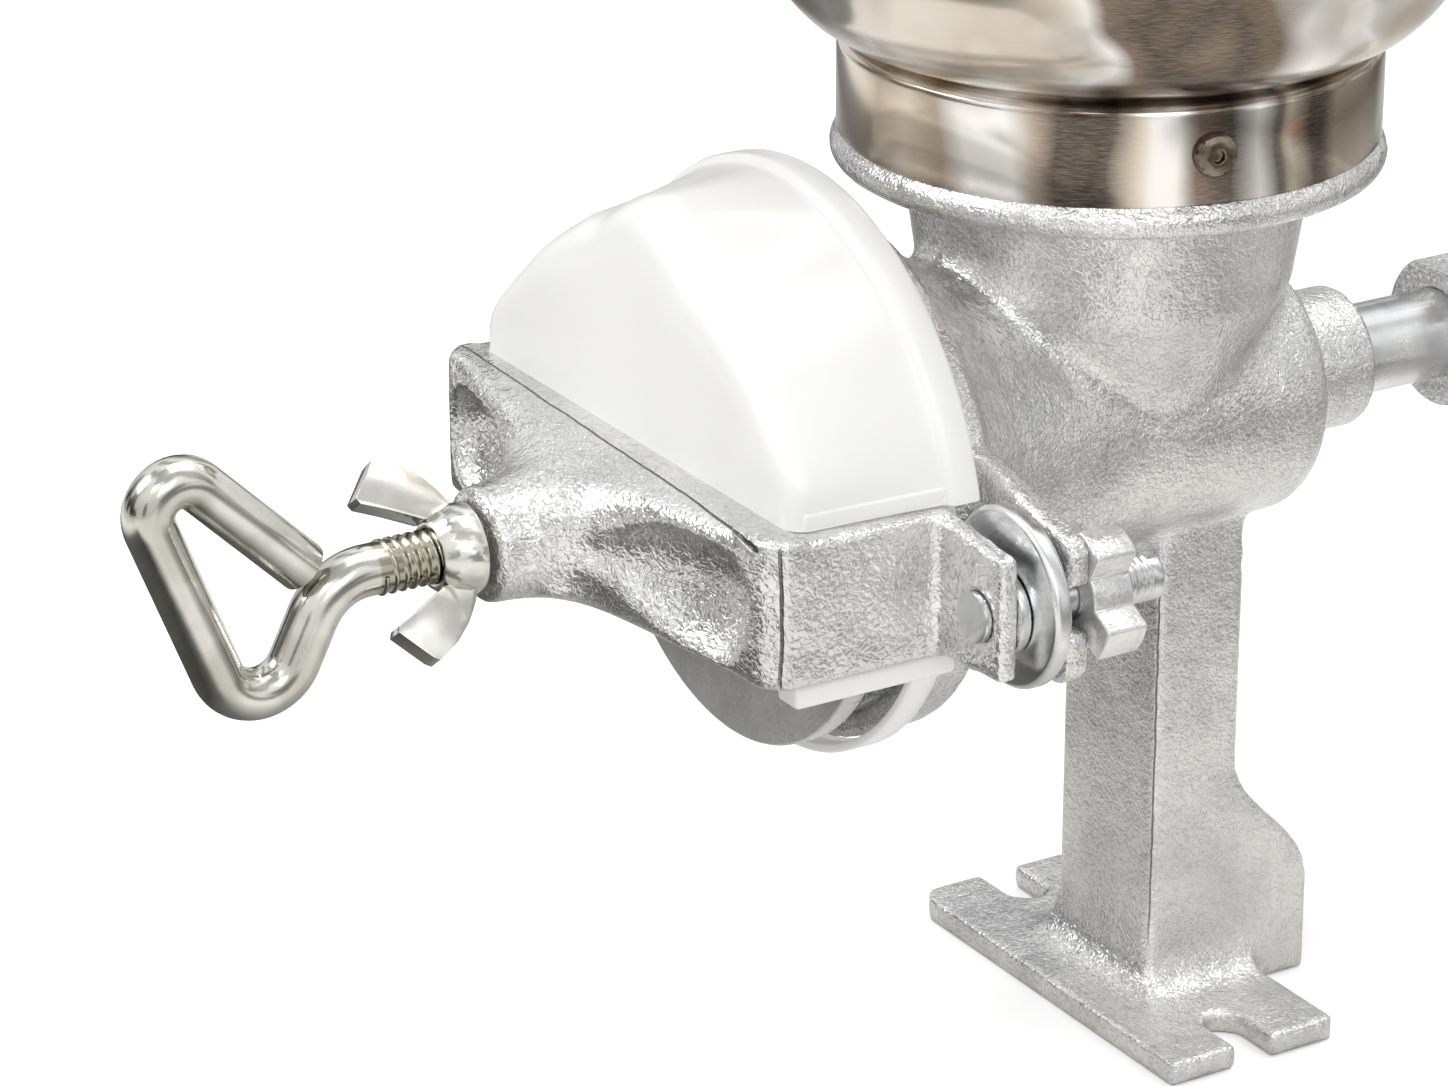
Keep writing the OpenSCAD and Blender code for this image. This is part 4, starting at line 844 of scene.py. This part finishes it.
belly = [(SPIGOT_R, BOWL_Z - SPIGOT_DROP), (SPIGOT_R, BOWL_Z)]
belly += [(SPIGOT_R + BEND * out, BOWL_Z + BEND * rise) for out, rise in BELLY]
belly += [(BOWL_R - BOWL_H / 24, BOWL_Z + BEND * 1.2), (BOWL_R, BOWL_Z + BEND * 1.9), (BOWL_R, BOWL_Z + BOWL_H)]
outside = smooth_line(belly, 5)
inside = [(r - SHEET, h + (SHEET * RISE if BOWL_Z - 1 < h < BOWL_Z + BEND * 1.3 else 0)) for r, h in outside]
rim = arc((BOWL_R, BOWL_Z + BOWL_H), RIM_R, range(-80, 241, 20))
bowl = spun("bowl_skin", outside[:-1] + rim + inside[:-1][::-1], (0, NECK_Y, 0), (0, 0, 1))
dress(bowl, "hopper_bowl", "base", bowl_sheet, sharp=50)

# %% [markdown]
# ## Hopper collar
# The collar is a plain band of sheet that joins the bowl to the casting. Its top edge is rounded over, so that a dark
# line parts it from the bowl. A bevel could round it, but the profile is drawn anyway, and an arc in it costs nothing.

# %% Collar
SHOULDER_R = 2.4
HEM_IN, HEM_UP = 0.3, 0.4
shoulder = (COLLAR_R - SHOULDER_R, BOWL_Z - SHOULDER_R)
band = [(COLLAR_R - HEM_IN, COLLAR_Z), (COLLAR_R, COLLAR_Z + HEM_UP)]
band += arc(shoulder, SHOULDER_R, range(0, 91, 15))
band += [(COLLAR_R - 4 * SHEET, BOWL_Z), (COLLAR_R - 4 * SHEET, BOWL_Z - SHEET)]
band += arc(shoulder, SHOULDER_R - SHEET, range(90, -1, -15))
band += [(COLLAR_R - SHEET, COLLAR_Z)]
collar = spun("collar_skin", band, (0, NECK_Y, 0), (0, 0, 1))
dress(collar, "hopper_collar", "base", collar_sheet, sharp=50)

# %% [markdown]
# ## Loop handle
# The adjusting screw and its handle are one rod, bent in front into a three-cornered loop whose free end stops short
# of the rod. It could be spun and extruded bend by bend. A path with a round section is simpler: its corners are
# rounded with arcs of the bending tool's radius.

# %% Bends of the loop
LOOP_REACH, LOOP_RISE, LOOP_DROP, LOOP_BEND = 54, 29, 22, 10
LOOP = [
    # reach along the shaft, rise or drop, and radius, as shares of the sizes above
    (-0.1, 0, 0), (0.187, 0, 1.4), (0.524, -1.641, 0.97), (1.131, 1.672, 0.68), (0.291, 0.134, 0),
]


def bent(corners, steps):
    """Rounds each corner of a line of (point, radius) with an arc."""
    line = [corners[0][0]]
    for (before, _), (here, radius), (after, _) in zip(corners, corners[1:], corners[2:]):
        u, w = (before - here).normalized(), (after - here).normalized()
        half = u.angle(w) / 2
        centre = here + (u + w).normalized() * radius / math.sin(half)
        start, end = here + u * radius / math.tan(half) - centre, here + w * radius / math.tan(half) - centre
        turn = math.pi - 2 * half
        for k in range(steps + 1):
            t = k / steps
            line.append(centre + (start * math.sin((1 - t) * turn) + end * math.sin(t * turn)) / math.sin(turn))
    return line + [corners[-1][0]]


route = bent([(Vector((0, SCREW_START - LOOP_REACH * y, AXIS_Z + (LOOP_DROP if z < 0 else LOOP_RISE) * z)),
               LOOP_BEND * r) for y, z, r in LOOP], 24)
print("rod of the loop, mm:", round(sum(math.dist(here, there) for here, there in zip(route, route[1:]))))

# %% Loop
ROD_R, ROD_END_EASE = 5.55, 0.6

bpy.ops.object.select_all(action="DESELECT")
bpy.ops.curve.primitive_nurbs_path_add()
rod = bpy.context.object
rod.name = "handle_rod"
spline = rod.data.splines[0]
spline.points.add(len(route) - len(spline.points))
spline.type = "POLY"
for point, place in zip(spline.points, route):
    point.co = (*(place * MM), 1)
rod.data.bevel_depth = ROD_R * MM
rod.data.bevel_resolution = 12
rod.data.use_fill_caps = True
bpy.ops.object.convert(target="MESH")
rod = closed_up(bpy.context.object, SPIN_GAP)
shape_with(rod, "BEVEL", width=ROD_END_EASE * MM, segments=3, limit_method="ANGLE", angle_limit=math.radians(60))
print("rod:", len(rod.data.polygons), "faces")

# %% [markdown]
# ## Thread
# The thread catches the light in one line that winds round the rod. Rings side by side would look alike from afar,
# but not at the ends. So one turn of the thread's profile is wound along the shaft by a Screw modifier, and its two
# open ends are closed.

# %% Wound thread
THREAD_R, THREAD_DEPTH, PITCH = 6.0, 0.95, 2.4
THREAD_START, SCREW_TIP = SCREW_START - 0.4, -119.5
WIND_STEPS, WIND_GAP = 36, 0.002
# Along and out, in shares of the pitch and the depth
PROFILE = [(0, 0), (0.1, 0.06), (0.36, 0.8), (0.44, 1), (0.58, 1), (0.66, 0.8), (0.92, 0.06), (1, 0)]

winding = drawn("handle_thread", [(THREAD_R - THREAD_DEPTH + THREAD_DEPTH * out, PITCH * along, 0)
                                  for along, out in PROFILE])
shape_with(winding, "SCREW", axis="Y", angle=math.tau, screw_offset=PITCH * MM,
           iterations=int((SCREW_TIP - THREAD_START) / PITCH) - 1, steps=WIND_STEPS, render_steps=WIND_STEPS,
           use_merge_vertices=True, merge_threshold=WIND_GAP * MM)
winding.location = Vector((0, THREAD_START, AXIS_Z)) * MM
settle(winding)
with edit(winding):
    bpy.ops.mesh.select_non_manifold()
    bpy.ops.mesh.edge_face_add()
    bpy.ops.mesh.select_all(action="SELECT")
    bpy.ops.mesh.normals_make_consistent(inside=False)
handle = joined("adjusting_screw_skin", rod, winding)
dress(handle, "adjusting_screw", "screw", screw_zinc, sharp=50)

# %% [markdown]
# ## Outlines of the cover's hood
# The cover is one white moulding that keeps the meal from flying. Its hood runs from a bell-shaped front face to a
# round arch at the back. A rounded block could be cut to it, but no block has both outlines. So the hood is a loft
# between the two, which are measured here with equal numbers of points.

# %% Outlines of the hood
FOOT_Z = AXIS_Z + 17.1
HOOD_Y, RIM_Y, RING_Y = -133.1, -95.9, -88.9  # front face, raised rim and back of the ring
HOOD_W, HOOD_UP = 66, 52.4  # half width and height of the front face
HOOD_R, ARCH_R = 69.9, 71.5  # radius where the sides end and of the raised rim
ACROSS = 140  # steps from foot to foot
# Half of the front outline from the foot to the crown, in shares of its half width and height
HALF = [(1, 0), (0.95, 0.12), (0.845, 0.26), (0.71, 0.41), (0.57, 0.56), (0.43, 0.7), (0.3, 0.825), (0.18, 0.925),
        (0.08, 0.98), (0, 1)]


def front_outline():
    """The front outline from the right foot over the crown to the left foot, as X and height over the foot."""
    half = [(HOOD_W * x, HOOD_UP * z) for x, z in smooth_line(HALF, 12)]
    line = half + [(-x, z) for x, z in half[-2::-1]]
    run = [0]
    for here, there in zip(line, line[1:]):
        run.append(run[-1] + math.dist(here, there))
    even = np.linspace(0, run[-1], ACROSS + 1)
    return list(zip(np.interp(even, run, [x for x, _ in line]), np.interp(even, run, [z for _, z in line])))


def arch_outline(radius):
    """An arch of the same number of points, with its feet at the hood's foot."""
    foot = FOOT_Z - AXIS_Z
    start = math.asin(foot / radius)
    return [(radius * math.cos(a), radius * math.sin(a) - foot)
            for a in np.linspace(start, math.pi - start, ACROSS + 1)]


print("hood's outline:", len(front_outline()), "points over", HOOD_UP, "mm")

# %% [markdown]
# ## Fullness of the hood
# The moulding's front edge is rounded well, tight at the foot and soft at the crown, and its sides bulge a little
# between the foot and half height. A bevel has one width and would pinch at the foot. Here both are given by the
# height, so that the rounding takes nothing from the outline that the photograph shows.

# %% Fullness
EDGE_FOOT, EDGE_CROWN, EDGE_RUN = 5, 11, 45  # radius of the front edge, and the height over which it grows
BULGE = 3.0


def step(t):
    """0 below 0, 1 above 1, smooth between."""
    t = min(max(t, 0), 1)
    return t * t * (3 - 2 * t)


def edge_at(z):
    """Radius of the front edge: tighter at the foot, soft at the crown."""
    return EDGE_FOOT + (EDGE_CROWN - EDGE_FOOT) * step(z / EDGE_RUN)


def set_out(x, z):
    """A point of the front outline, moved out by the rounding and the bulge, and in again near the crown."""
    rounding = 0.3 * edge_at(z) * step(z / 9)
    bulge = BULGE * step(z / 12) * (1 - step((z - 24) / 16))
    crown = BULGE * step((z - 36) / 8)
    out = 1 + (rounding + bulge - 0.3 - crown) / math.hypot(x, z)
    return x * out, z * out


wide = [set_out(x, z) for x, z in front_outline()]
rear = arch_outline(HOOD_R)
print("hood's half width, mm:", round(max(x for x, _ in wide), 1), "in front,", round(rear[0][0], 1), "behind")

# %% [markdown]
# ## Rows of the hood
# The loft's rows run from the middle of the flat front face outward, round the front edge, along the sides to the
# rear arch, and over the raised rim. They could be separate sheets that are bridged, but one grid has no gaps and
# no flipped faces.

# %% Rows of the hood
FACE_Y = HOOD_Y + 0.4
FACE_ROWS, EDGE_ROWS, SIDE_ROWS = 16, 12, 18
LOFT_BEND, LOFT_END = 1.7, 0.98  # how late the sides turn to the rear arch, and how nearly they reach it
RIM = [
    # radius and place along the shaft, over the raised rim
    (HOOD_R + 0.15, RIM_Y - 0.7), (HOOD_R + 0.9, RIM_Y - 0.2), (ARCH_R - 0.3, RIM_Y + 0.3), (ARCH_R, RIM_Y + 1.2),
    (ARCH_R, RING_Y - 1.2), (ARCH_R - 0.35, RING_Y - 0.35), (ARCH_R - 1.2, RING_Y), (60.2, RING_Y),
]


def lofted(k, y):
    """Point k of the hood's outline at a place along the shaft."""
    share = max((y - HOOD_Y) / (RIM_Y - HOOD_Y), 0) ** LOFT_BEND * LOFT_END
    return [v * (1 - share) + w * share for v, w in zip(wide[k], rear[k])]


def hood_rows():
    edges = [edge_at(z) for _, z in wide]
    rows = []
    for share in np.linspace(0, 1, FACE_ROWS)[:-1]:
        rows.append([(x * share * (1 - edge / math.hypot(x, z)), FACE_Y, z * share * (1 - edge / math.hypot(x, z)))
                     for (x, z), edge in zip(wide, edges)])
    for turn in np.radians(np.linspace(0, 90, EDGE_ROWS)):
        row = []
        for k, edge in enumerate(edges):
            y = FACE_Y + edge * (1 - math.cos(turn))
            x, z = lofted(k, y)
            inward = 1 - edge * (1 - math.sin(turn)) / math.hypot(x, z)
            row.append((x * inward, y, z * inward))
        rows.append(row)
    for share in np.linspace(0, 1, SIDE_ROWS)[1:]:
        row = []
        for k, edge in enumerate(edges):
            start = FACE_Y + edge
            y = start + (RIM_Y - 1.4 - start) * share
            x, z = lofted(k, y)
            row.append((x, y, z))
        rows.append(row)
    return rows + [[(x, y, z) for x, z in arch_outline(radius)] for radius, y in RIM]


rows = hood_rows()
print("hood:", len(rows), "rows of", len(rows[0]), "points")

# %% Hood
WALL = 2
hood = sheet_of("hood", [[(x, y, FOOT_Z + z) for x, y, z in row] for row in rows])
closed_up(hood, LOFT_GAP)
# An open sheet has no outside of its own: the front face shows whether it was turned inside out
if min(hood.data.polygons, key=lambda face: face.center.y).normal.y > 0:
    with edit(hood, everything=True):
        bpy.ops.mesh.flip_normals()
shape_with(hood, "SOLIDIFY", thickness=WALL * MM, offset=-1)
print("hood:", len(hood.data.polygons), "faces")

# %% [markdown]
# ## Lips, ring and rails
# Under the hood the moulding has a thickened lip along each side, a ring that hugs the cup, and two rails beside the
# yoke. They could be united with the hood by a boolean, but thin walls that lie in each other often break one.
# They are simply joined, each a closed body, as their overlaps stay unseen.

# %% Lips
LIP_IN, LIP_START, LIP_UP, LIP_WALL, LIP_EASE = 1.2, 3.5, 3.6, 1.6, 0.7
rear_foot = rear[0][0]
lips = []
for side in (-1, 1):
    foot = [(side * (HOOD_W - LIP_IN + (rear_foot - HOOD_W) * step((y - HOOD_Y) / (RIM_Y - HOOD_Y))), y, FOOT_Z)
            for y in np.linspace(HOOD_Y + LIP_START, RIM_Y, 16)]
    lip = drawn("lip", foot)
    with edit(lip, everything=True):
        bpy.ops.mesh.extrude_region_move(TRANSFORM_OT_translate={"value": (0, 0, LIP_UP * MM)})
    shape_with(lip, "SOLIDIFY", thickness=LIP_WALL * MM, offset=0)
    lips.append(shape_with(lip, "BEVEL", width=LIP_EASE * MM, segments=4, limit_method="ANGLE",
                           angle_limit=math.radians(50)))
print("lips:", len(lips))

# %% Ring, rails and the whole cover
RING_IN, RING_OUT, RING_EASE = 59, 61, 0.4
RAILS = [
    # inner low corner, outer high corner, ease, for the right side
    ((60.4, -120.9, 124.6), (62.4, -95.5, 164.6), 0.4), ((60.4, HOOD_Y, 124.6), (68.2, -93.9, 129.6), 1.1),
]


def box_of(name, low, high, ease):
    """A block with eased edges between two corners, in millimetres."""
    bpy.ops.object.select_all(action="DESELECT")
    low, high = Vector(low) * MM, Vector(high) * MM
    bpy.ops.mesh.primitive_cube_add(size=1, location=(low + high) / 2, scale=high - low)
    piece = settle(bpy.context.object)
    piece.name = name
    return shape_with(piece, "BEVEL", width=ease * MM, segments=4)


front = [(RING_IN, RIM_Y + RING_EASE), (RING_IN + RING_EASE, RIM_Y), (RING_OUT - RING_EASE, RIM_Y),
         (RING_OUT, RIM_Y + RING_EASE)]
rear_side = [(RING_OUT, RING_Y - RING_EASE), (RING_OUT - RING_EASE, RING_Y), (RING_IN + RING_EASE, RING_Y),
             (RING_IN, RING_Y - RING_EASE)]
ring = spun("ring", front + rear_side, (0, 0, AXIS_Z), (0, 1, 0), steps=160)
rails = []
for side in (-1, 1):
    for low, high, ease in RAILS:
        inner, outer = sorted((side * low[0], side * high[0]))
        rails.append(box_of("rail", (inner, *low[1:]), (outer, *high[1:]), ease))
cover = joined("cover_skin", hood, *lips, ring, *rails)
dress(cover, "plate_cover", "base", white_plastic, sharp=60)

# %% [markdown]
# ## Studio floor
# The camera sees a white floor, on which the mill stands with a soft shadow. The metal's reflections need dark places
# to show its shape. They could come from black cards set up out of view. Here the floor itself is white to the camera
# only, and to all other rays it has painted bands, bright near the mill and darker to its sides, and a bright patch:
# painted reflections and painted shade for the mill.

# %% Floor
FLOOR_SIZE, FLOOR_DROP = 8, 0.0002  # in metres, as are all places on the floor
FLOOR_WHITE, FLOOR_GLOW, NO_GLOW = (0.94, 0.94, 0.94), (0.3, 0.3, 0.3), (0.0, 0.0, 0.0)
# A painted bright patch, which the metal mirrors as a highlight
REFLECTED_PATCH = (0.95, 0.94, 0.92)  # a bright patch at the front right
# Painted dark and bright bands on the floor, which the metal mirrors
REFLECTED_SHADES = [
    # place from -1 to 1 across the floor, brightness of the painted band
    (-1, 0.7), (-0.7, 0.95), (-0.56, 0.75), (-0.45, 0.14), (-0.28, 0.06), (-0.2, 0.16), (-0.135, 0.5), (-0.02, 0.85),
    (0.15, 0.9), (0.25, 0.5), (0.6, 0.15), (1, 0.4),
]

bpy.ops.object.select_all(action="DESELECT")
bpy.ops.mesh.primitive_plane_add(size=FLOOR_SIZE, location=(0, 0, -FLOOR_DROP))
floor = bpy.context.object
floor.name = "studio_floor"
pale = Finish("pale_floor", roughness=0.9, specular_ior_level=0.1)
x, y, _ = pale.axes()
seen = pale.node("ShaderNodeLightPath", {}, {}, "Is Camera Ray")
# Painted reflections and painted shade: the floor's colour to every ray but the camera's
painted_bands = pale.ramp((x * 0.5 + y * 0.87 + 1) * 0.5, [
    ((place + 1) / 2, (shade, shade * 0.985, shade * 0.955)) for place, shade in REFLECTED_SHADES])
painted_bands = pale.blend(x.between(0.10, 0.22) * (1 - y.between(-0.32, -0.12)), painted_bands, REFLECTED_PATCH)
pale.set(base_color=pale.blend(seen, painted_bands, FLOOR_WHITE),
         emission_color=pale.blend(seen, NO_GLOW, FLOOR_GLOW), emission_strength=1.0)
floor.data.materials.append(pale.material)
floor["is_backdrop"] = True
print("table:", len(REFLECTED_SHADES), "shades")

# %% [markdown]
# ## World
# The surround is white to the camera. Bare metal shows little but what it mirrors, so to reflections the surround is
# a dark room with soft bright panels, a brighter side and a lit ceiling. Real panels round the mill could do the
# same, but a world costs no meshes and stands equally far from every piece. Everything else gets a plain grey light.

# %% World
ROOM_DARK, ROOM_LIT = (0.04, 0.04, 0.042), (1.25, 1.25, 1.25)
FILL_LOW, FILL_HIGH, SURROUND = (0.42, 0.42, 0.42), (0.72, 0.72, 0.72), (1.0, 1.0, 1.0)
PANEL_SCALE = 2.6

world = bpy.data.worlds.new("studio")
bpy.context.scene.world = world
world.use_nodes = True
world.node_tree.nodes.clear()
sky = Tree(world.node_tree, "Generated")
x, y, z = sky.axes()
glossy, seen = [sky.node("ShaderNodeLightPath", {}, {}, ray) for ray in ("Is Glossy Ray", "Is Camera Ray")]
side = (x * 0.8 + y * 0.6).between(-0.9, 0.5)
overhead = z.between(0.1, 0.6)
panels = sky.node("ShaderNodeTexNoise", {}, {
    "Vector": sky.stretched(1.0, 1.0, 0.6), "Scale": PANEL_SCALE, "Detail": 0.5})
lit = panels.between(0.45, 0.53) * 0.5 + side * 0.2 + overhead * 0.3
mirrored = sky.blend(lit, ROOM_DARK, ROOM_LIT)
plain = sky.blend(side, FILL_LOW, FILL_HIGH)
tone = sky.blend(seen, sky.blend(glossy, plain, mirrored), SURROUND)
background = sky.node("ShaderNodeBackground", {}, {"Color": tone, "Strength": 1.0})
sky.node("ShaderNodeOutputWorld", {}, {"Surface": background})
print("world:", len(world.node_tree.nodes), "nodes")

# %% [markdown]
# ## Lamps
# The photograph is lit softly from the front left and from above, with a weak light from the right and one small
# bright spot that gives the sparks on the wet-looking tin. Sun lamps would throw hard shadows. Area lamps are the
# softboxes of a real studio: the larger the lamp, the softer its light.

# %% Lamps
LAMP_AIM = Vector((0, 0, 0.15))
LAMPS = [
    # name, place in metres, size, power in watts
    ("key", (-0.7, -1.5, 1.6), 0.9, 17),
    ("side", (1.9, -0.4, 1.2), 0.9, 3),
    ("top", (0.0, 0.4, 2.0), 1.2, 15),
    ("spark", (1.2, -1.2, 1.6), 0.25, 3),
]
for name, place, size, power in LAMPS:
    bpy.ops.object.light_add(type="AREA", location=place)
    lamp = bpy.context.object
    lamp.name = f"{name}_lamp"
    lamp.data.size, lamp.data.energy = size, power
    lamp.rotation_euler = (LAMP_AIM - Vector(place)).to_track_quat("-Z", "Y").to_euler()
print("lamps, watts in all:", sum(power for *_, power in LAMPS))

# %% [markdown]
# ## Sizes
# Dressing must not change the mill's size. So the visual model's box is printed, in millimetres.

# %% Sizes
low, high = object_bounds()
print("visual box, mm:", [round(v / MM, 1) for v in (*low, *high)])
